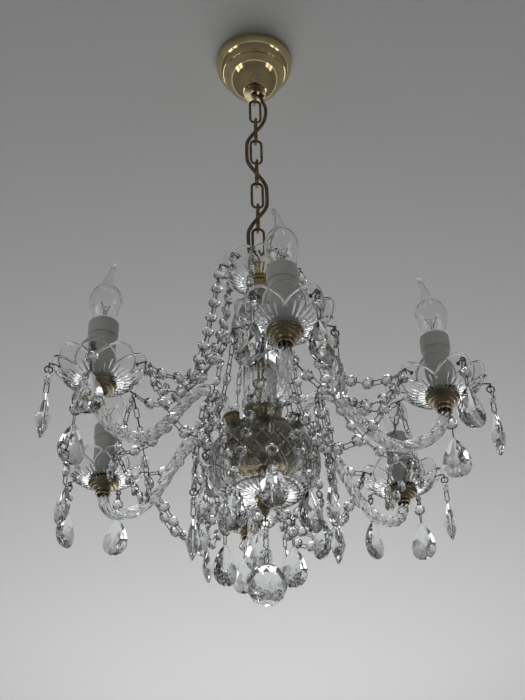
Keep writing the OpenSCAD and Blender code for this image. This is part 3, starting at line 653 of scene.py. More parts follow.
def flute_recipe():
    """Cuts flutes into a turned piece, as deep as the value of its points named fluted says."""
    recipe = Recipe("Cut flutes", flutes="Int", depth="Float", centre="Vector", material="Material")
    given = recipe.given
    spot = recipe.node("GeometryNodeInputPosition")
    local = recipe.node("ShaderNodeVectorMath", {"operation": "SUBTRACT"}, spot, given["Centre"])
    x = recipe.node("ShaderNodeSeparateXYZ", None, local)
    angle = x.output(1).maths("ARCTAN2", x)
    wave = (angle * given["Flutes"] * 0.5).maths("COSINE").maths("ABSOLUTE")
    reach = recipe.node("GeometryNodeInputNamedAttribute", {"data_type": "FLOAT"}, "fluted")
    groove = 1 - (1 - wave).maths("POWER", 1.4)
    amount = groove * reach * given["Depth"] * -1
    normal = recipe.node("GeometryNodeInputNormal")
    offset = recipe.node("ShaderNodeVectorMath", {"operation": "SCALE"}, normal,
                         named={"Scale": amount})
    cut = recipe.node("GeometryNodeSetPosition", None, given["Geometry"], named={"Offset": offset})
    return recipe.finish(cut)


# ---- Finishes ----


def metal(name, bright, dull, roughness, scale, tarnish, dents=0.00002):
    """A metal whose polish and tint vary, with darker stains and fine scratches."""
    finish = Finish(name)
    stain = finish.noise(scale, 4, 0.6)
    fine = finish.noise(scale * 14, 2, 0.5, (1, 1, 0.25))
    scratch = finish.noise(2600, 2, 0.6, (1, 1, 0.08))
    colour = finish.blend(finish.fit(stain, 0, tarnish), bright, dull)
    rough = finish.fit(stain, roughness[0], roughness[1]) + finish.fit(fine, 0, 0.05)
    relief = finish.bump(scratch * 0.4 + fine, dents, 0.6)
    return finish.surface(base_color=colour, metallic=1.0, roughness=rough, normal=relief)


def fade(finish, value, low, high, first, last):
    """Goes softly from the first number to the last one while a value goes from low to high."""
    return finish.node("ShaderNodeMapRange", {"interpolation_type": "SMOOTHSTEP"},
                       value, low, high, first, last)


def line_cut(finish, coordinate, width):
    """1 along every whole number of a coordinate, fading to 0 at the width."""
    near = (coordinate + 0.5).maths("FRACT") - 0.5
    return fade(finish, near.maths("ABSOLUTE"), 0.0, width, 1.0, 0.0)


def between(finish, value, low, high, soft=0.02):
    """1 where a value lies between low and high."""
    rise = fade(finish, value, low - soft, low + soft, 0.0, 1.0)
    return rise * fade(finish, value, high - soft, high + soft, 1.0, 0.0)


def clear_glass(name, tint, ior, rough, waves=0.00002, pattern=None):
    """Clear glass with an uneven skin, in metres. A pattern gives cuts, and waves is their depth."""
    finish = Finish(name)
    height = finish.noise(45, 2, 0.5)
    smear = finish.noise(160, 3, 0.6)
    roughness = finish.fit(smear, rough * 0.4, rough * 1.8)
    if pattern:
        cuts = pattern(finish)
        roughness = roughness + cuts * 0.12
        height = height * 0.02 - cuts
    return finish.surface(base_color=tint, roughness=roughness, ior=ior, transmission_weight=1.0,
                          normal=finish.bump(height, waves, 0.9))


def cut_coordinates(finish):
    """The two coordinates of the piece's own cut layout, round it and along its profile."""
    layout = finish.node("ShaderNodeUVMap", {"uv_map": "Cuts"})
    u = finish.node("ShaderNodeSeparateXYZ", None, layout)
    return u, u.output(1)


def crossed(finish, u, v, slope, width):
    """Lines that lean both ways across the layout."""
    lean = v * slope
    return line_cut(finish, u + lean, width).maths("MAXIMUM", line_cut(finish, u - lean, width))


def dish_cuts(finish):
    """Two strokes from each dip of the rim, and a ring near the rim."""
    u, v = cut_coordinates(finish)
    strokes = crossed(finish, u, 1 - v, 1.15, 0.06)
    strokes = strokes * between(finish, v, 0.52, 0.97)
    band = line_cut(finish, v - 0.98, 0.012)
    return strokes.maths("MAXIMUM", band)


def bowl_cuts(finish):
    """A band of crossed cuts round the bowl between two rings."""
    u, v = cut_coordinates(finish)
    cross = crossed(finish, u, v, 6, 0.10)
    rings = line_cut(finish, v - 0.12, 0.012).maths("MAXIMUM", line_cut(finish, v - 0.68, 0.01))
    return (cross * between(finish, v, 0.12, 0.56, 0.01)).maths("MAXIMUM", rings)


def vase_cuts(finish):
    """Crossed cuts over most of the vase."""
    u, v = cut_coordinates(finish)
    return crossed(finish, u, v, 3, 0.09) * between(finish, v, 0.10, 0.80)


def candle_plastic(colour):
    """Matt pale plastic with a faint bloom."""
    finish = Finish("Candle_plastic")
    bloom = finish.noise(25, 3, 0.5)
    grain = finish.noise(900, 3, 0.6)
    shade = finish.blend(finish.fit(bloom, 0, 0.35), colour, [c * 0.9 for c in colour])
    return finish.surface(base_color=shade, roughness=finish.fit(bloom, 0.34, 0.5),
                          subsurface_weight=0.2, subsurface_scale=0.004,
                          normal=finish.bump(grain, 0.00003, 0.5))


def flex_plastic(colour):
    """The flex's sheath, with a faint twist of its cores and worn high places."""
    finish = Finish("Flex_sheath")
    u, v = cut_coordinates(finish)
    wear = finish.noise(120, 3, 0.6)
    twist = ((u * 2 + v * 40) * math.tau).maths("SINE")
    shade = finish.blend(finish.fit(wear, 0, 0.8), colour, [c * 0.55 for c in colour])
    return finish.surface(base_color=shade, roughness=finish.fit(wear, 0.35, 0.55),
                          normal=finish.bump(twist * 0.5 + wear, 0.0002, 0.6))


class Finishes:
    """All materials of the chandelier, made once from the panel's colours."""

    def __init__(self, colours):
        brass = tuple(colours.brass)
        aged = tuple(colours.aged_brass)
        tint = tuple(colours.crystal)
        olive = [mix(c, 0.5, 0.2) for c in brass]
        self.brass = metal("Polished_brass", brass, [c * 0.55 for c in brass],
                           (0.035, 0.11), 40, 0.6)
        # Duller, rougher brass that also carries painted shade: its colour is a darkened, greyed copy of the
        # polished brass, used on the nut, cups, collar, column cap, pan and finial
        self.dull_brass = metal("Dull_brass", [c * 0.52 for c in olive], [c * 0.16 for c in olive],
                                (0.16, 0.34), 70, 0.9, 0.00005)
        self.old_brass = metal("Aged_brass", aged, [c * 0.35 for c in aged],
                               (0.26, 0.5), 90, 1.0, 0.00006)
        self.wire = metal("Crystal_wire", (0.30, 0.28, 0.25), (0.10, 0.09, 0.08),
                          (0.2, 0.4), 300, 0.8)
        self.steel = metal("Zinc_steel", (0.66, 0.67, 0.68), (0.42, 0.42, 0.44),
                           (0.28, 0.45), 70, 0.7)
        self.filament = metal("Filament_wire", (0.26, 0.25, 0.24), (0.12, 0.12, 0.12),
                              (0.3, 0.5), 300, 0.8)
        self.crystal = clear_glass("Cut_crystal", tint, 1.6, 0.012)
        self.arm_glass = clear_glass("Arm_glass", tint, 1.5, 0.03, 0.00012)
        self.dish_glass = clear_glass("Dish_glass", tint, 1.5, 0.02, 0.0016, dish_cuts)
        self.bowl_glass = clear_glass("Bowl_glass", tint, 1.5, 0.03, 0.0010, bowl_cuts)
        self.vase_glass = clear_glass("Vase_glass", tint, 1.5, 0.03, 0.0010, vase_cuts)
        self.bulb_glass = clear_glass("Bulb_glass", (0.98, 0.98, 0.98), 1.45, 0.008, 0.00003)
        self.candle = candle_plastic(tuple(colours.candle))
        self.flex = flex_plastic(tuple(colours.flex))


FINISHES = []


def finishes():
    """The materials, made by the first piece that asks for them."""
    if not FINISHES:
        FINISHES.append(Finishes(bpy.context.scene.chandelier_colours))
    return FINISHES[0]


# ---- Settings ----


class ChandelierSizes(bpy.types.PropertyGroup):
    bead_width: FloatProperty(
        name="Bead width", description="Width of an octagon bead across its flats",
        default=0.0126, min=0.012, max=0.0144, unit="LENGTH")
    bead_thickness: FloatProperty(
        name="Bead thickness", description="Thickness of a bead through its tables",
        default=0.007, min=0.006, max=0.0074, unit="LENGTH")
    bead_gap: FloatProperty(
        name="Bead gap", description="Wire length from one bead to the next",
        default=0.0094, min=0.007, max=0.010, unit="LENGTH")
    pear_length: FloatProperty(
        name="Pear length", description="Length of a pear pendant",
        default=0.050, min=0.044, max=0.050, unit="LENGTH")
    pear_width: FloatProperty(
        name="Pear width", description="Width of a pear pendant",
        default=0.0305, min=0.028, max=0.033, unit="LENGTH")
    arm_radius: FloatProperty(
        name="Arm radius", description="Radius of a glass arm over its ribs",
        default=0.0065, min=0.0055, max=0.0065, unit="LENGTH")
    arm_ribs: IntProperty(
        name="Arm ribs", description="Ribs round a glass arm", default=6, min=5, max=7)
    arm_turns: FloatProperty(
        name="Arm turns", description="Turns that the ribs make along an arm",
        default=2.5, min=2.0, max=5.0)
    dish_flutes: IntProperty(
        name="Dish flutes", description="Flutes cut round the foot of a dish",
        default=30, min=20, max=40)
    bowl_flutes: IntProperty(
        name="Bowl flutes", description="Flutes cut round the foot of the bowl",
        default=34, min=20, max=44)


class ChandelierColours(bpy.types.PropertyGroup):
    brass: FloatVectorProperty(
        name="Brass", description="Colour of the polished brass",
        default=(0.72, 0.58, 0.32), min=0, max=1, subtype="COLOR")
    aged_brass: FloatVectorProperty(
        name="Aged brass", description="Colour of the aged brass of the chain and the top ring",
        default=(0.30, 0.20, 0.11), min=0, max=1, subtype="COLOR")
    crystal: FloatVectorProperty(
        name="Crystal", description="Tint of the crystal and the glass",
        default=(0.93, 0.94, 0.94), min=0, max=1, subtype="COLOR")
    candle: FloatVectorProperty(
        name="Candle tubes", description="Colour of the candle tubes",
        default=(0.70, 0.70, 0.67), min=0, max=1, subtype="COLOR")
    flex: FloatVectorProperty(
        name="Flex", description="Colour of the flex",
        default=(0.17, 0.105, 0.065), min=0, max=1, subtype="COLOR")
    ceiling: FloatVectorProperty(
        name="Ceiling", description="Colour of the painted ceiling",
        default=(0.594, 0.60, 0.598), min=0, max=1, subtype="COLOR")
    floor: FloatVectorProperty(
        name="Floor", description="Colour of the floor",
        default=(0.50, 0.49, 0.47), min=0, max=1, subtype="COLOR")


# ---- Pieces ----


class CHANDELIER_OT_stage(bpy.types.Operator):
    """Ceiling, floor, soft lamps and the camera at the photograph's place"""
    bl_idname = "chandelier.stage"
    bl_label = "Stage"

    def sheet(self, name, points, faces, colour):
        """A sheet of the stage. Gives its unfinished material and its paint."""
        mesh = bpy.data.meshes.new(name)
        mesh.from_pydata(points, [], faces)
        sheet = put(name, mesh)
        finish = Finish(name + "_paint")
        mesh.materials.append(finish.material)
        mottle = finish.noise(1.5, 4, 0.5)
        shade = finish.blend(finish.fit(mottle, 0, 0.3), colour, [c * 0.96 for c in colour])
        return finish, finish.node("ShaderNodeBsdfDiffuse", None, shade)

    def ceiling(self, colour):
        """A round ceiling, seen from below only, open inside the rose and drawn towards the camera."""
        steps, hole, reach, back, level = 64, 0.051, 4.6, 0.7, 0.0004
        turns = [math.tau * i / steps for i in range(steps)]
        points = [(hole * math.cos(a), hole * math.sin(a), level) for a in turns]
        points += [(reach * math.cos(a), reach * math.sin(a) - back, level) for a in turns]
        faces = [(i, (i + 1) % steps, steps + (i + 1) % steps, steps + i) for i in range(steps)]
        finish, paint = self.sheet("Ceiling", points, faces, colour)
        from_behind = finish.node("ShaderNodeNewGeometry", output=6)
        finish.mixed(from_behind, paint, finish.node("ShaderNodeBsdfTransparent"))

    def floor(self, colour):
        """A floor that looks pale and keeps the shadow, and throws only its paint's light back."""
        size, level = 30.0, -2.1
        points = [(-size, -size, level), (size, -size, level), (size, size, level), (-size, size, level)]
        finish, paint = self.sheet("Floor", points, [(0, 1, 2, 3)], colour)
        finish.mixed(finish.seen(0.8, 0.1), paint, finish.node("ShaderNodeEmission", None, PALE, 1.0))

    def lamp(self, name, spot, target, width, height, energy):
        light = bpy.data.lights.new(name, "AREA")
        light.shape = "RECTANGLE"
        light.size = width
        light.size_y = height
        light.energy = energy
        lamp = bpy.data.objects.new(name, light)
        lamp.location = spot
        lamp.rotation_euler = (Vector(target) - Vector(spot)).to_track_quat("-Z", "Y").to_euler()
        lamp.visible_camera = False
        bpy.context.scene.collection.objects.link(lamp)

    def world(self):
        """A dim sky that looks pale to the camera and in glass and metal."""
        world = bpy.data.worlds.new("Room")
        bpy.context.scene.world = world
        world.use_nodes = True
        room = Tree(world.node_tree)
        room.tree.nodes.clear()
        dim = room.node("ShaderNodeBackground", None, (0.94, 0.96, 1.0), 0.17)
        pale = room.node("ShaderNodeBackground", None, PALE, 1.0)
        both = room.node("ShaderNodeMixShader", None, room.seen(1.0, 1.0), dim, pale)
        room.node("ShaderNodeOutputWorld", None, both)

    def camera(self):
        """The camera, with the place, the lens and the turn that were fitted to the photograph."""
        pitch, roll = math.radians(36.05), math.radians(-1.49)
        level = Vector((0.113, 0.9936, 0)) * math.cos(pitch)
        forward = (level + Vector((0, 0, math.sin(pitch)))).normalized()
        right = forward.cross(Vector((0, 0, 1))).normalized()
        up = right.cross(forward)
        turned = math.cos(roll) * right + math.sin(roll) * up
        top = -math.sin(roll) * right + math.cos(roll) * up
        camera_data = bpy.data.cameras.new("Camera")
        camera_data.lens = 54.1
        camera_data.sensor_width = 36
        camera = bpy.data.objects.new("Camera", camera_data)
        matrix = Matrix((turned, top, -forward)).transposed().to_4x4()
        matrix.translation = (-0.1115, -0.9944, LEVEL - 0.5995)
        camera.matrix_world = matrix
        bpy.context.scene.collection.objects.link(camera)
        bpy.context.scene.camera = camera

    def execute(self, context):
        colours = context.scene.chandelier_colours
        self.ceiling(list(colours.ceiling))
        self.floor(list(colours.floor))
        self.lamp("Window", (0.3, 2.6, -1.6), (0.3, 2.43, -0.61), 3.0, 3.0, 51)
        middle = (0, 0, -0.6)
        for i in (-1, 1):
            left = (-3.2 + 0.2 * i, -1.6 - 0.42 * i, -0.6)
            right = (3.0 - 0.3 * i, -2.4 - 0.4 * i, -0.6)
            self.lamp(f"Room_left_{i + 2}", left, middle, 0.7, 1.2, 5)
            self.lamp(f"Room_right_{i + 2}", right, middle, 0.7, 1.2, 4)
        self.world()
        self.camera()
        context.scene.view_settings.view_transform = "Standard"
        return {"FINISHED"}


class CHANDELIER_OT_rose(bpy.types.Operator):
    """Ceiling rose, its nut and its loop, with the bracket inside"""
    bl_idname = "chandelier.rose"
    bl_label = "Ceiling rose"

    def execute(self, context):
        made = finishes()
        outer = flowing([
            (53.8, -0.2), (55.2, -1.2), (55.5, -3.4), (55.0, -7), (53.6, -12.5), (51.4, -17.2),
            (48.4, -20.8), (45.4, -23.2, 1), (44.0, -23.6), (43.0, -24.6), (42.9, -27.2), (43.4, -28.8, 1),
            (42.0, -33), (39.2, -40), (35.4, -46.2), (30.2, -52.2), (24, -57.2), (17.6, -60.6),
            (14, -61.9, 1), (4.3, -62)], 4)
        inner = [Vector((max(4.3, p.x - 1.1), min(-0.2, p.y + 0.9))) for p in reversed(outer)]
        dome = new_piece("Rose_dome", moved(lathe(outer + inner, 96), CEILING_FRAME), [made.brass])
        dress(dome, "ceiling", "polished_brass", "ceiling_rose")
        dress(rounded_copy("rose_nut", made.dull_brass, 0.5), "ceiling", "polished_brass", "rose_nut")
        low, high = (1000 * corner.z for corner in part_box("rose_loop"))
        loop = joined(
            moved(ring(6.8, 2, 40, 14), shift(0, 0, low + 8.8)),
            lathe([(0, high - 8), (3.4, high - 8), (3.4, high), (0, high)], 24),
            lathe(flowing([(0, -72.6), (3.2, -72.4), (3.8, -71.4), (3.6, -70.3), (0, -70.3)], 3), 24))
        piece = new_piece("Rose_ring", moved(loop, CEILING_FRAME), [made.dull_brass])
        dress(piece, "ceiling", "polished_brass", "rose_loop")
        paint("ceiling_bracket", made.steel)
        paint("terminal_block", made.candle)
        return {"FINISHED"}


class CHANDELIER_OT_chain(bpy.types.Operator):
    """Seven long links and the flex that runs through them"""
    bl_idname = "chandelier.chain"
    bl_label = "Chain and flex"

    LINKS, LENGTH, WIDTH, LINK_WIRE, PITCH = 7, 48.2, 18.0, 3.5, 40.9
    FLEX_R = 2.5
    ROUTE = [
        (9, -66.5), (9, -74), (11, -83), (14, -92), (15, -103), (14, -113), (12, -123),
        (7, -134.5), (0, -145.5), (-7, -156.5), (-12, -168), (-12.8, -180), (-12.8, -193),
        (-12, -205), (-7, -216.5), (0, -227.5), (7, -238.5), (12, -250), (12.8, -262),
        (12.8, -275), (12, -287), (7, -298), (0, -309), (-7, -320.5), (-12, -332), (-12.8, -344),
        (-12.5, -356), (-12, -366), (-10, -375), (-6.5, -382), (-5.2, -388)]

    def links(self, brass):
        bend, straight = (self.WIDTH - self.LINK_WIRE) / 2, (self.LENGTH - self.WIDTH) / 2
        path = []
        for side in (1, -1):
            for i in range(9):
                a = math.pi * i / 8
                path.append((side * bend * math.cos(a), 0, side * (straight + bend * math.sin(a))))
        shape = tube(path, self.LINK_WIRE / 2, 12, closed=True)
        link = new_piece("Link_pattern", shape, [brass], 60)
        top = 1000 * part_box("chain_links")[1].z - self.LENGTH / 2
        places = [(Vector((0, 0, top - i * self.PITCH)), upright(90 * (i % 2)), (1, 1, 1))
                  for i in range(self.LINKS)]
        links = cloud("Chain_links", places, CEILING_FRAME)
        cook(links, strung_recipe(), thing=link, material=brass)
        bpy.data.objects.remove(link)
        dress(links, "chain", "antique_brass", "chain_links")

    def execute(self, context):
        made = finishes()
        self.links(made.old_brass)
        sides = 14
        sheath = tube([(p.x, 0, p.y) for p in flowing(self.ROUTE, 3)], self.FLEX_R, sides)
        uvs = []
        for face in sheath[1][:-2]:
            i, s = divmod(face[0], sides)
            uvs.append([(s / sides, i / 100), ((s + 1) / sides, i / 100),
                        ((s + 1) / sides, (i + 1) / 100), (s / sides, (i + 1) / 100)])
        uvs += [[(0, 0)] * sides, [(0, 1)] * sides]
        flex = new_piece("Flex", moved(sheath, CEILING_FRAME), [made.flex], 60, uvs)
        dress(flex, "chain", "flex_brown", "flex")
        return {"FINISHED"}


def turned_piece(name, line, material, slot, node, segments=72):
    """A turned piece of the chandelier's body."""
    piece = new_piece(name, moved(lathe(line, segments), BODY_FRAME), [material])
    dress(piece, "chandelier", slot, node)


def turned_uvs(rows, segments, repeats):
    """Cut layout of a closed turned shell: repeats round it, and its profile from 0 to 1 and back."""
    lengths = [0.0]
    for a, b in zip(rows, rows[1:]):
        lengths.append(lengths[-1] + (b - a).length)
    half = lengths[-1] / 2
    along = [1 - abs(s - half) / half if s > half else s / half for s in lengths]
    uvs = []
    for j in range(len(rows)):
        k = (j + 1) % len(rows)
        for i in range(segments):
            u, w = repeats * i / segments, repeats * (i + 1) / segments
            uvs.append([(u, along[j]), (w, along[j]), (w, along[k]), (u, along[k])])
    return uvs


class CHANDELIER_OT_centre_brass(bpy.types.Operator):
    """Loop, cap, cups, collar, pan and finial down the middle"""
    bl_idname = "chandelier.centre_brass"
    bl_label = "Centre brass"

    def execute(self, context):
        made = finishes()
        low, high = (1000 * (corner.z - LEVEL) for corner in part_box("top_loop"))
        loop = joined(
            moved(ring(8, 1.75, 40, 12), shift(0, 0, high - 9.75)),
            lathe([(0, low), (2.4, low), (2.4, high - 18), (0, high - 18)], 20))
        piece = new_piece("Top_ring", moved(loop, BODY_FRAME), [made.old_brass])
        dress(piece, "chandelier", "antique_brass", "top_loop")
        dress(rounded_copy("top_cap", made.brass, 0.4), "chandelier", "polished_brass", "top_cap")
        turned_piece("Dish_cup", flowing([
            (BORE, 212.2, 1), (8.5, 212.2), (9.5, 217.7), (8.5, 220.6), (10, 223.6), (13.6, 226.8),
            (16.6, 228.6), (17, 230.2), (16.4, 230.8, 1), (BORE, 230.8, 1)]),
            made.brass, "polished_brass", "top_dish_cup")
        turned_piece("Column_cap", flowing([
            (BORE, 20.2, 1), (9, 20.2, 1), (10, 21.6), (12.4, 22.8), (15.2, 25.2), (17.9, 28.9),
            (20.4, 34), (21.7, 38.4), (22, 41.8), (21.6, 43.6), (20.6, 44.6, 1), (BORE, 44.7, 1)]),
            made.dull_brass, "polished_brass", "column_cap")
        turned_piece("Stem_collar", flowing([
            (BORE, 8.2, 1), (9.6, 8.2), (10, 9.4), (9.4, 11), (7.6, 13.2), (7.4, 16), (8.2, 18.6),
            (9, 19.6), (8.6, 19.9, 1), (BORE, 19.9, 1)]),
            made.dull_brass, "polished_brass", "stem_collar")
        turned_piece("Finial", flowing([
            (0, -66.2, 1), (10.2, -66.2), (10.7, -67), (10.4, -68.2), (7.4, -69.4), (7, -70.2, 1),
            (8.2, -71.6), (8.7, -74), (7.8, -77), (5.8, -79.6), (4.6, -81.4, 1), (4.8, -82.6),
            (4.0, -84.6), (2.4, -86.8), (1.6, -88.6), (0, -89.1)]),
            made.dull_brass, "antique_brass", "finial", 48)
        eye = moved(ring(EYE_R, WIRE, 20), BODY_FRAME @ shift(0, 0, BALL_EYE_Z + EYE_R))
        dress(new_piece("Finial_eye", eye, [made.old_brass]), "chandelier", "antique_brass", "finial")
        turned_piece("Arm_pan", flowing([
            (BORE, -33, 1), (12, -33), (21, -31.6), (28.2, -28.9), (33.8, -25.2), (37.9, -20.4), (41, -14.6),
            (42.8, -9.2), (43.8, -4.6), (44.1, -2, 1), (44.1, 5.2, 1), (47.6, 5.2), (48, 6.2), (47.4, 7.8, 1),
            (BORE, 8, 1)]),
            made.dull_brass, "polished_brass", "hub", 96)
        paint("stem", made.brass)
        ferrule = lathe(flowing([
            (7.5, 13, 1), (8.4, 13), (9.4, 12), (9.4, 11), (8.7, 10, 1), (8.6, 8, 1), (8.1, 4),
            (8.3, 0), (9.4, -3.2), (9.4, -5.4, 1), (7.5, -5, 1)], 4), 40)
        seats = [turn_z(arm_turn(k)) @ shift(*ARM_ROOT) @ turn_y(17) for k in ARMS]
        ferrules = moved(joined(*(moved(ferrule, seat) for seat in seats)), BODY_FRAME)
        dress(new_piece("Arm_cups", ferrules, [made.dull_brass]), "chandelier", "polished_brass",
              "arm_ferrules")
        return {"FINISHED"}


def flute(piece, reach, flutes, depth, centre, material):
    """Cuts flutes round a glass piece. Reach gives their share of the depth at each of its points."""
    layer = piece.data.attributes.new("fluted", "FLOAT", "POINT")
    layer.data.foreach_set("value", reach)
    cook(piece, flute_recipe(), flutes=flutes, depth=0.001 * depth, centre=centre, material=material)
    piece.data.set_sharp_from_angle(angle=math.radians(50))


class CHANDELIER_OT_centre_glass(bpy.types.Operator):
    """Vase, column and cut bowl"""
    bl_idname = "chandelier.centre_glass"
    bl_label = "Centre glass"

    def turned_glass(self, name, node, outer, inner, material, repeats, segments, fluted, flutes, depth):
        """A glass piece from its outer and its inner side, with cuts in so many repeats round it.

        Fluted gives the share of the flutes' depth at a radius and a height of the outer side."""
        line = outer + inner
        piece = new_piece(name, moved(lathe(line, segments), BODY_FRAME), [material], 40,
                          turned_uvs(line, segments, repeats))
        shares = [fluted(*p) for p in outer] + [0.0] * len(inner)
        reach = [share for share in shares for _ in range(segments)]
        flute(piece, reach, flutes, depth, (0, 0, LEVEL), material)
        dress(piece, "chandelier", "crystal", node)

    def execute(self, context):
        made = finishes()
        sizes = context.scene.chandelier_sizes

        def foot(r, z):
            return clamp((-58 - z) / 1.5) * clamp((r - 11.5) / 2)

        def shaft(_, z):
            return clamp((z - 59) / 3) * clamp((109 - z) / 3)

        def nowhere(*_):
            return 0.0

        outer = flowing([
            (48.7, 5), (51.2, 0), (56.6, -7), (60.6, -14.5), (62, -22), (61.9, -30), (60.6, -38),
            (57.6, -45, 1), (55.4, -48.6), (52.4, -52.4), (46, -58.4), (38, -62.6), (28, -65), (18, -65.8),
            (6, -66, 1), (5.2, -65, 1)], 4)
        inner = flowing([
            (5.2, -62.4, 1), (18, -62.2), (30, -61.2), (40, -57.6), (48.6, -50.6), (54.4, -42.4),
            (57.4, -34), (58, -24), (56.4, -15), (52, -7), (47, 0), (44.9, 5, 1)], 4)
        self.turned_glass("Cut_bowl", "bowl", outer, inner, made.bowl_glass, 24, 228,
                          foot, sizes.bowl_flutes, 1.4)
        outer = flowing([
            (BORE, 115, 1), (21, 115.2), (23.4, 119), (27.6, 125.6), (33.2, 138), (35.8, 150),
            (35.6, 161), (33.4, 173), (29.6, 185), (25, 196), (19.6, 205), (16.4, 209), (15.6, 211.8, 1)], 3)
        inner = flowing([
            (BORE, 211.8, 1), (BORE, 207, 1), (12, 205), (17, 198), (24, 182), (29, 168), (31, 151),
            (28, 136), (20, 126), (BORE, 120, 1)], 3)
        self.turned_glass("Vase", "vase", outer, inner, made.vase_glass, 16, 96, nowhere, 16, 0.0)
        outer = flowing([
            (BORE, 45.2, 1), (21, 45.2), (22.6, 46.2), (23.4, 47.3), (22.6, 48.6), (21.6, 49.4, 1),
            (22.8, 50.2), (23.4, 51.3), (22.6, 52.6), (21.6, 53.4, 1), (22.8, 54.2), (23.4, 55.3),
            (22.6, 56.6), (21.5, 58.4, 1), (21.5, 62, 1), (21.5, 72, 1), (21.5, 84, 1), (21.5, 96, 1),
            (21.5, 106, 1), (21.5, 110, 1), (21, 114.6, 1)], 3)
        inner = flowing([
            (BORE, 114.6, 1), (BORE, 110, 1), (15.5, 103, 1), (15.5, 60, 1), (BORE, 51, 1)], 3)
        self.turned_glass("Glass_column", "column", outer, inner, made.arm_glass, 16, 96, shaft, 16, 1.1)
        return {"FINISHED"}


def lobed_radius(degrees, lobes):
    """Radius of a rim made of round lobes."""
    radius = 50
    lobe = 0.4 * radius
    middle = radius - lobe
    step = 360 / lobes
    off = math.radians((degrees + step / 2) % step - step / 2)
    return middle * math.cos(off) + math.sqrt(lobe ** 2 - (middle * math.sin(off)) ** 2)


def lobed_dish(lobes):
    """A cut glass dish with a lobed rim, its layout of cuts and how far its flutes reach."""
    segments, rows, bore, wall = 200, 22, 5.2, 3.3
    side = Line([Vector((p.x, p.y, 0)) for p in flowing([
        (bore, 0, 1), (17, 0), (23, 0.6), (29, 2.4), (35, 5.6), (40, 9.6), (44, 13.8), (47.4, 18.2),
        (50, 22.6)], 5)])
    points, grid, flutes = [], [], []
    for i in range(segments):
        reach = lobed_radius(360 * i / segments, lobes) - 0.2
        low, high = 0.0, side.total
        for _ in range(24):
            mid = (low + high) / 2
            low, high = (mid, high) if side.at(mid).x < reach else (low, mid)
        end = min(low, side.total - 0.3) - 0.8
        outer, inner = [], []
        for j in range(rows):
            t = j / (rows - 1)
            s = end * t
            ahead = side.at(s + 0.4) - side.at(s - 0.4)
            normal = Vector((-ahead.y, ahead.x, 0)).normalized()
            outer.append(side.at(s))
            inner.append(outer[-1] + normal * wall * (1 - 0.18 * t))
        inner[0].x = bore
        tip = (outer[-1] + inner[-1]) / 2
        lift = (outer[-1] - outer[-2]).normalized()
        half = (outer[-1] - inner[-1]) / 2
        rim = [tip + half * math.cos(a) + lift * 1.3 * math.sin(a) for a in (0.8, math.pi / 2, math.pi - 0.8)]
        column = outer + rim + inner[::-1]
        a = math.tau * i / segments
        grid.append(len(points))
        points += [(p.x * math.cos(a), p.x * math.sin(a), p.y) for p in column]
        flutes += [clamp((p.x - 17.5) / 2.5) * clamp((37.5 - p.x) / 3) for p in outer]
        flutes += [0.0] * (len(rim) + rows)
    along = [j / (rows - 1) for j in range(rows)] + [1.0] * len(rim) + [-0.2] * rows
    count = len(along)
    faces, uvs = [], []
    for i in range(segments):
        a, b = grid[i], grid[(i + 1) % segments]
        u, w = lobes * i / segments + 0.5, lobes * (i + 1) / segments + 0.5
        for j in range(count):
            k = (j + 1) % count
            faces.append((a + j, b + j, b + k, a + k))
            uvs.append([(u, along[j]), (w, along[j]), (w, along[k]), (u, along[k])])
    return part(points, faces), uvs, flutes


def make_dish(name, node, lobes, matrix, glass, flutes):
    shape, uvs, reach = lobed_dish(lobes)
    piece = new_piece(name, moved(shape, matrix), [glass], 50, uvs)
    flute(piece, reach, flutes, 1.2, matrix.translation, glass)
    dress(piece, "chandelier", "crystal", node)


class CHANDELIER_OT_arms(bpy.types.Operator):
    """Six twisted glass arms"""
    bl_idname = "chandelier.arms"
    bl_label = "Glass arms"

    CURVES = ((ARM_ROOT, (44.5, 0, 29), (55, 0, 45), (70, 0, 45)),
              ((70, 0, 45), (100, 0, 45), (124, 0, -46), (166, 0, -46)),
              ((166, 0, -46), (191, 0, -46), (205, 0, -36), (205, 0, -6.3)))

    def execute(self, context):
        made = finishes()
        sizes = context.scene.chandelier_sizes
        recipe = twisted_recipe()
        first, *others = (curve(*knots) for knots in self.CURVES)
        line = Line(first + [place for places in others for place in places[1:]])
        steps = 150
        places = [line.at(line.total * i / steps) for i in range(steps + 1)]
        for k in ARMS:
            name = f"Glass_arm_{k + 1}"
            mesh = bpy.data.meshes.new(name)
            mesh.from_pydata([arm_frame(k) @ place for place in places],
                             [(i, i + 1) for i in range(steps)], [])
            arm = put(name, mesh)
            cook(arm, recipe, radius=sizes.arm_radius, ribs=sizes.arm_ribs, rib_depth=0.0017,
                 turns=sizes.arm_turns, material=made.arm_glass)
            smooth(arm.data, 60)
            dress(arm, "chandelier", "crystal", f"arm_{k + 1}")
        return {"FINISHED"}


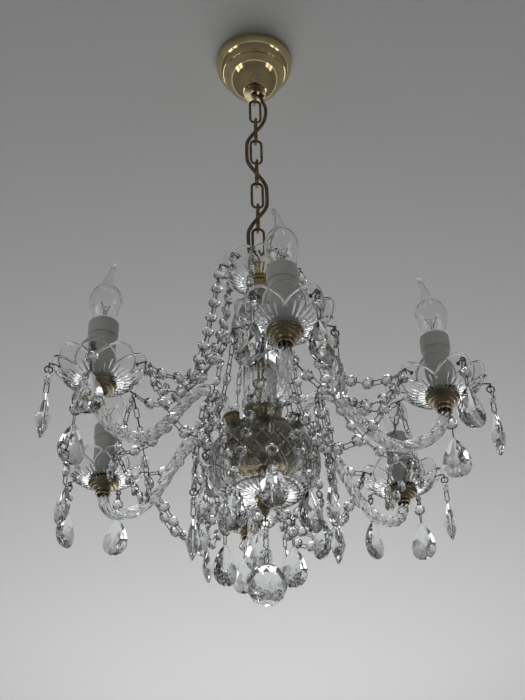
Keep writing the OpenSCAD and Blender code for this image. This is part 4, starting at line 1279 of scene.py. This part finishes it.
class CHANDELIER_OT_candles(bpy.types.Operator):
    """Candle cups, drip dishes with their pins, candle tubes and the top dish"""
    bl_idname = "chandelier.candles"
    bl_label = "Candles and dishes"

    def execute(self, context):
        made = finishes()
        sizes = context.scene.chandelier_sizes
        cup = lathe(flowing([
            (7.1, -6.2, 1), (7.1, -13.8, 1), (8.6, -13.9), (9, -13), (8.8, -11.9), (8.3, -10.9), (8.3, -8.8),
            (9.2, -6.9), (11.2, -5.5), (12.4, -5.2, 1), (13, -4.2), (14.6, -3.2), (15.6, -2.9, 1), (16.1, -2),
            (17, -1.2), (17.8, -0.2), (18, 0.9), (17.8, 2.2), (17.2, 2.8, 1),
            (5, 2.8, 1), (5, 13.4, 1), (0, 13.5, 1)], 4), 56)
        floor = lathe([(0, -6), (7.1, -6.2)], 56)
        cups = joined(*(moved(joined(cup, floor), candle_frame(k)) for k in ARMS))
        dress(new_piece("Candle_cups", cups, [made.dull_brass]), "chandelier", "polished_brass",
              "candle_cups")
        tall, collar = SLEEVE_H, SLEEVE_H - 18
        tube_line = flowing([
            (12.6, 0.1, 1), (13.9, 0), (14.2, 0.6), (14.2, 20, 1), (14.2, collar - 0.4, 1), (14.6, collar),
            (15.6, collar + 0.1), (16, collar + 0.8), (16, collar + 8, 1), (16, tall - 2), (15.7, tall - 0.6),
            (14.9, tall), (13.4, tall - 0.1), (12.7, tall - 0.8), (12.6, tall - 9, 1), (12.6, 40, 1)], 3)
        sleeve = moved(lathe(tube_line, 64), shift(0, 0, SLEEVE_Z))
        sleeves = joined(*(moved(sleeve, candle_frame(k)) for k in ARMS))
        dress(new_piece("Candle_tubes", sleeves, [made.candle]), "chandelier", "white_plastic",
              "candle_sleeves")
        paint("lampholders", made.candle)
        for k in ARMS:
            matrix = candle_frame(k, DISH_TURN[k]) @ shift(0, 0, DISH_BASE)
            make_dish(f"Drip_dish_{k + 1}", "drip_dishes", 10, matrix, made.dish_glass, sizes.dish_flutes)
        matrix = arm_frame(0) @ shift(0, 0, TOP_DISH_BASE)
        make_dish("Top_dish", "top_dish", 12, matrix, made.dish_glass, sizes.dish_flutes)
        pin = joined(
            tube([(x, 0, 0) for x in (39.5, 44, EYE_OUT - 0.9)], 0.9, 10),
            moved(lathe([(0, -1.1), (1.6, -1.1), (2.2, -0.5), (2.2, 0), (0, 0)], 14),
                  shift(40.6, 0, 0) @ turn_y(90)),
            moved(ring(EYE_R, WIRE, 20), shift(EYE_OUT, 0, -EYE_R)))
        pattern = new_piece("Pin_pattern", pin, [made.wire], 40)
        pins = []
        for k in ARMS:
            spot = spun((REACH, 0, DISH_BASE + PIN_RISE), arm_turn(k))
            pins += [(spot, upright(arm_turn(k) + pin_turn(k, j)), (1, 1, 1)) for j in range(PINS)]
        spot = Vector((0, 0, TOP_DISH_BASE + PIN_RISE))
        pins += [(spot, upright(arm_turn(0) + (i + 0.5) * TOP_PIN_STEP), (1, 1, 1))
                 for i in range(TOP_PINS)]
        piece = cloud("Dish_pins", pins, BODY_FRAME)
        cook(piece, strung_recipe(), thing=pattern, material=made.wire)
        bpy.data.objects.remove(pattern)
        dress(piece, "chandelier", "wire", "dish_pins")
        return {"FINISHED"}


def bulb_lean(height):
    """How far the bulb's bent tip has moved aside at a height."""
    return 8.2 * clamp((height - 51) / 41) ** 1.5


def filament():
    """Two carriers, a support and the coiled wire inside a bulb."""
    carriers = [tube([(side * 0.8, 0, 17), (side * 1.2, 0, 21.2), (side * 3.4, 0.3 * side, 25),
                      (side * 6.8, 0.5 * side, 32)], 0.42, 6, finish=1) for side in (-1, 1)]
    support = tube([(0, 0, 21), (0, 0.6, 25), (0, 1.6, 28.4)], 0.3, 6, finish=1)
    steps, turns = 120, 16
    coil = []
    for i in range(steps + 1):
        t = i / steps
        a = math.tau * turns * t
        sway = 1.6 * math.sin(math.pi * t) + mix(-0.5, 0.5, t)
        dip = 3.6 * math.sin(math.pi * t) - 0.8 * math.sin(2 * math.pi * t) ** 2
        coil.append((mix(-6.8, 6.8, t) + 0.2 * math.cos(a), sway + 0.4 * math.cos(a),
                     32 - dip + 0.4 * math.sin(a)))
    return joined(*carriers, support, tube(coil, 0.18, 5, finish=1))


def screw_cap():
    """The cap of a bulb with its thread."""
    thread = [(6.4 + 0.45 * math.cos(math.pi * i), -19.6 + 1.6 * i) for i in range(11)]
    return lathe(flowing([
        (0, -24, 1), (3, -23.9), (5, -22.6), (5.6, -20.6, 1), *thread,
        (6.8, -2.8, 1), (6.9, -0.2, 1), (0, -0.2, 1)], 3), 32, finish=2)


class CHANDELIER_OT_bulbs(bpy.types.Operator):
    """Six clear flame bulbs with a bent tip"""
    bl_idname = "chandelier.bulbs"
    bl_label = "Flame bulbs"

    def execute(self, context):
        made = finishes()
        outer = flowing([
            (0, 0.1), (6, 0.1), (7.8, 0.8), (8.5, 4), (9.6, 6.6), (11, 9), (12.6, 12.4), (14.1, 15.8),
            (15.4, 19.6), (16.4, 24), (17.2, 29), (17.5, 33.6), (17.3, 38), (16.2, 42.6), (14, 47.4),
            (11.4, 51.4), (9, 55), (7.1, 59), (5.7, 63.4), (4.7, 68), (3.9, 73), (3.3, 78), (2.8, 83),
            (2.3, 87.4), (2.1, 89.8), (1.5, 91.3), (0, 91.8)], 3)
        inner = flowing([
            (0, 86.4), (1.6, 84.6), (2.3, 80), (2.9, 75), (3.7, 69.6), (4.6, 64.8), (5.9, 60), (7.8, 55.6),
            (10.1, 51.6), (12.8, 47.6), (15.2, 42.8), (16.4, 38.2), (16.7, 33.6), (16.4, 29), (15.6, 24.2),
            (14.6, 19.8), (13.3, 16.2), (11.8, 12.8), (10.2, 9.6), (8.8, 7.2), (7.7, 4.4), (7.2, 2),
            (5.6, 1.2), (0, 1.2)], 3)
        stalk = lathe(flowing([
            (0, 1.3), (4.4, 1.6), (3.4, 4.5), (2.0, 10), (1.5, 16), (1.9, 20), (1.6, 21.4),
            (0, 21.8)], 3), 20)
        bulb = joined(lathe(outer, 48, lean=bulb_lean), lathe(inner, 48, lean=bulb_lean), stalk,
                      filament(), screw_cap())
        for k in ARMS:
            matrix = candle_frame(k, BULB_TURN[k]) @ shift(0, 0, BULB_BASE)
            piece = new_piece(f"Flame_bulb_{k + 1}", moved(bulb, matrix),
                              [made.bulb_glass, made.filament, made.brass], 40, hollow=True)
            dress(piece, f"bulb_{k + 1}", "bulb_glass", f"bulb_{k + 1}")
        return {"FINISHED"}


def octagon_bead(width, thick):
    """A cut octagon with its faces across Y: girdle, bevels and a star on each side."""
    half = thick / 2

    def level(share, y, turn=0.5):
        radius = share * width / 2 / math.cos(math.pi / 8)
        turns = [math.tau * (i + turn) / 8 for i in range(8)]
        return [(radius * math.cos(a), y, radius * math.sin(a)) for a in turns]

    return facets([level(0.52, -0.88 * half, 0), level(1, -0.28 * half), level(1, 0.28 * half),
                   level(0.52, 0.88 * half, 0)], (0, -half, 0), (0, half, 0))


def pear_crystal(length, width, thick):
    """A cut pear drop below the origin, its faces across Y, with a star of large facets on each."""
    half_rim = [(0.0, 0.0), (0.36, 0.15), (0.66, 0.31), (0.87, 0.46), (1.0, 0.62), (0.96, 0.76),
                (0.79, 0.88), (0.45, 0.97), (0.0, 1.0)]
    half_star = [(0.0, 0.05, 0.16), (0.36, 0.46, 0.62), (0.58, 0.63, 0.55), (0.44, 0.80, 0.52),
                 (0.0, 0.88, 0.50)]
    rim = half_rim + [(-x, y) for x, y in half_rim[-2:0:-1]]
    star = half_star + [(-x, y, h) for x, y, h in half_star[-2:0:-1]]
    half = thick / 2

    def edge(y):
        return [(x * width / 2, y, -z * length) for x, z in rim]

    def belly(side):
        return [(x * width / 2, side * high * half, -z * length) for x, z, high in star]

    middle = -0.62 * length
    return facets([belly(-1), edge(-0.12 * half), edge(0.12 * half), belly(1)],
                  (0, -half, middle), (0, half, middle))


def cut_ball():
    """A ball with rings of triangular facets, each ring turned half a facet."""
    sides, radius = 10, BALL / 2
    levels = []
    for j, latitude in enumerate(BALL_RINGS):
        a = math.radians(latitude)
        turns = [math.tau * (i + j / 2) / sides for i in range(sides)]
        levels.append([(radius * math.cos(a) * math.cos(turn), radius * math.cos(a) * math.sin(turn),
                        radius * math.sin(a)) for turn in turns])
    return facets(levels, (0, 0, BALL_TOP), (0, 0, -BALL_TOP))


def wire_clip(finish=0):
    """A squared wire loop along Z, as long as a clip and pinched at its middle."""
    path = []
    for i in range(24):
        a = math.tau * i / 24
        across, along = math.sin(a), math.cos(a)
        z = CLIP / 2 * math.copysign(abs(along) ** 0.7, along)
        pinch = 2.8 - 0.9 * math.exp(-(z / 1.8) ** 2)
        path.append((pinch * math.copysign(abs(across) ** 0.7, across), 0, z))
    return tube(path, 0.55, 5, closed=True, finish=finish)


def hanger(sizes, beads, crystal):
    """A ring, octagons on clips and a crystal, below the bottom wire of an eye at the origin."""
    bead_w = 1000 * sizes.bead_width
    pitch = bead_w + 1000 * sizes.bead_gap
    loop, bite = 4, 1.2
    top = HANG - 2 * loop - WIRE - 0.2
    parts = [moved(ring(loop, WIRE, 24, axis="Y", finish=1), shift(0, 0, HANG - loop))]
    bead = moved(octagon_bead(bead_w, 1000 * sizes.bead_thickness), turn_z(90))
    span = pitch - bead_w + 2 * bite
    for i in range(beads):
        low = top - i * pitch - bead_w
        parts.append(moved(bead, shift(0, 0, low + bead_w / 2)))
        parts.append(moved(wire_clip(1), shift(0, 0, low + bite - span / 2)
                           @ Matrix.Diagonal((1, 1, span / CLIP, 1))))
    parts.append(moved(wire_clip(1), shift(0, 0, top + 1.4) @ Matrix.Diagonal((1, 1, 0.55, 1)) @ turn_z(90)))
    parts.append(moved(crystal, shift(0, 0, top - beads * pitch)))
    return joined(*parts)


class CHANDELIER_OT_pendants(bpy.types.Operator):
    """Pear pendants of the dishes and the bowl, and the ball under the finial"""
    bl_idname = "chandelier.pendants"
    bl_label = "Pendants and ball"

    def execute(self, context):
        made = finishes()
        sizes = context.scene.chandelier_sizes
        pear = moved(pear_crystal(1000 * sizes.pear_length, 1000 * sizes.pear_width, 16), turn_z(90))
        shape = hanger(sizes, 1, pear)
        materials = [made.crystal, made.wire]
        for k in ARMS:
            for letter, j in zip("abc", (0, 1, -1)):
                matrix = candle_frame(k, pin_turn(k, j)) @ shift(EYE_OUT, 0, EYE_Z)
                name = f"{k + 1}{letter}"
                piece = new_piece("Pear_" + name, moved(shape, matrix), materials, 0)
                dress(piece, "pendant_" + name, "crystal", "pendant_" + name)
        skirt = []
        for k in ARMS:
            skirt.append(moved(shape, arm_frame(k) @ shift(SKIRT_R, 0, SKIRT_HIGH)))
            skirt.append(moved(shape, arm_frame(k + 0.5) @ shift(SKIRT_R, 0, SKIRT_LOW)))
        piece = new_piece("Bowl_pears", joined(*skirt), materials, 0)
        dress(piece, "chandelier", "crystal", "bowl_pendants")
        ball = hanger(sizes, 2, moved(cut_ball(), shift(0, 0, -BALL_TOP)))
        piece = new_piece("Cut_ball", moved(ball, BODY_FRAME @ shift(0, 0, BALL_EYE_Z)), materials, 0)
        dress(piece, "crystal_ball", "crystal", "ball")
        return {"FINISHED"}


class CHANDELIER_OT_garlands(bpy.types.Operator):
    """Strings of octagon beads between the dishes and round the bowl"""
    bl_idname = "chandelier.garlands"
    bl_label = "Garlands"

    def eye(self, k, j):
        """The bottom of the eye of a drip dish's pin."""
        spot = spun((EYE_OUT, 0, 0), pin_turn(k, j)) + Vector((REACH, 0, EYE_Z))
        return spun(spot, arm_turn(k))

    def tie(self, k, j, towards):
        """A place on the side of an eye's wire that faces a direction."""
        turn, lift = math.radians(arm_turn(k) + pin_turn(k, j)), math.radians(75)
        across = Vector((-math.sin(turn), math.cos(turn), 0))
        side = math.copysign(math.sin(lift), across.dot(towards))
        return self.eye(k, j) + EYE_R * (side * across + Vector((0, 0, 1 - math.cos(lift))))

    def top_strings(self, sizes):
        string = String(sizes)
        for k in ARMS:
            for side in (-1, 1):
                start = spun((EYE_OUT, 0, TOP_EYE_Z), arm_turn(k) + 15 * side)
                end = self.tie(k, 2 * side, start - self.eye(k, 2 * side))
                low = spun((72, side * 30, -8), arm_turn(k))
                string.add(curve(start, low, end), tail=8, end=2.0)
        return string

    def side_strings(self, sizes):
        string = String(sizes)
        for k in ARMS:
            after = (k + 1) % len(ARMS)
            span = self.eye(after, -2) + self.eye(k, 2)
            out = Vector((span.x, span.y, 0)).normalized()
            for lower in (0, 1):
                start = self.eye(k, 2) if lower else self.tie(k, 2, out)
                end = self.eye(after, -2) if lower else self.tie(after, -2, out)
                sag = 2 * (58 + 27 * lower)
                low = (start + end) / 2 - Vector((0, 0, sag)) + (-54 if lower else 20) * out
                bare = 1.6 * string.pitch * lower
                string.add(curve(start, low, end), bare, bare, 2.0, 2.0)
        return string

    def bowl_strings(self, sizes):
        string = String(sizes)
        reach, peak = ARM_PEAK
        for k in ARMS:
            turn = arm_turn(k)
            start = spun((reach, 0, peak - ARM_RING_R), turn)
            end = spun((SKIRT_R, 0, SKIRT_HIGH), turn)
            string.add([mix(start, end, i / 10) for i in range(11)], lead=6, end=2.9)
            for side in (-1, 1):
                string.add(curve(
                    spun((reach, side * ARM_RING_R * 0.7, peak - ARM_RING_R * 0.7), turn),
                    spun((reach + 3, side * 26, peak - 22), turn),
                    spun((SKIRT_R - 2, side * 20, -50), turn),
                    spun((SKIRT_R, 0, SKIRT_LOW + HANG), turn + side * 29.75)))
        return string

    def execute(self, context):
        made = finishes()
        sizes = context.scene.chandelier_sizes
        bead = new_piece("Bead_pattern", octagon_bead(1000 * sizes.bead_width, 1000 * sizes.bead_thickness),
                         [made.crystal], 0)
        clip = new_piece("Clip_pattern", wire_clip(), [made.wire], 60)
        recipe = strung_recipe()
        for name, string, node in (("Top", self.top_strings(sizes), "top_garlands"),
                                   ("Side", self.side_strings(sizes), "side_garlands"),
                                   ("Bowl", self.bowl_strings(sizes), "bowl_garlands")):
            beads = cloud(name + "_beads", string.beads, BODY_FRAME)
            cook(beads, recipe, thing=bead, material=made.crystal)
            dress(beads, "chandelier", "crystal", node)
            clips = cloud(name + "_clips", string.clips, BODY_FRAME)
            cook(clips, recipe, thing=clip, material=made.wire)
            dress(clips, "chandelier", "wire", node)
        for pattern in (bead, clip):
            bpy.data.objects.remove(pattern)
        reach, peak = ARM_PEAK
        rings = [moved(ring(ARM_RING_R, WIRE, 32), arm_frame(k) @ shift(reach, 0, peak)) for k in ARMS]
        dress(new_piece("Arm_rings", joined(*rings), [made.wire], 60), "chandelier", "wire", "bowl_garlands")
        return {"FINISHED"}


OPERATORS = (
    CHANDELIER_OT_stage,
    CHANDELIER_OT_rose,
    CHANDELIER_OT_chain,
    CHANDELIER_OT_centre_brass,
    CHANDELIER_OT_centre_glass,
    CHANDELIER_OT_arms,
    CHANDELIER_OT_candles,
    CHANDELIER_OT_bulbs,
    CHANDELIER_OT_pendants,
    CHANDELIER_OT_garlands,
)


class CHANDELIER_PT_panel(bpy.types.Panel):
    bl_label = "Chandelier"
    bl_idname = "CHANDELIER_PT_panel"
    bl_space_type = "VIEW_3D"
    bl_region_type = "UI"
    bl_category = "Chandelier"

    def draw(self, context):
        for settings in (context.scene.chandelier_sizes, context.scene.chandelier_colours):
            column = self.layout.column()
            for name in settings.__annotations__:
                column.prop(settings, name)
        for operator in OPERATORS:
            self.layout.operator(operator.bl_idname)


CLASSES = (ChandelierSizes, ChandelierColours, *OPERATORS, CHANDELIER_PT_panel)


def register():
    for cls in CLASSES:
        bpy.utils.register_class(cls)
    bpy.types.Scene.chandelier_sizes = PointerProperty(type=ChandelierSizes)
    bpy.types.Scene.chandelier_colours = PointerProperty(type=ChandelierColours)


def unregister():
    del bpy.types.Scene.chandelier_colours
    del bpy.types.Scene.chandelier_sizes
    for cls in reversed(CLASSES):
        bpy.utils.unregister_class(cls)


def main():
    register()
    for operator in OPERATORS:
        family, name = operator.bl_idname.split(".")
        getattr(getattr(bpy.ops, family), name)()


if __name__ == "__main__":
    main()
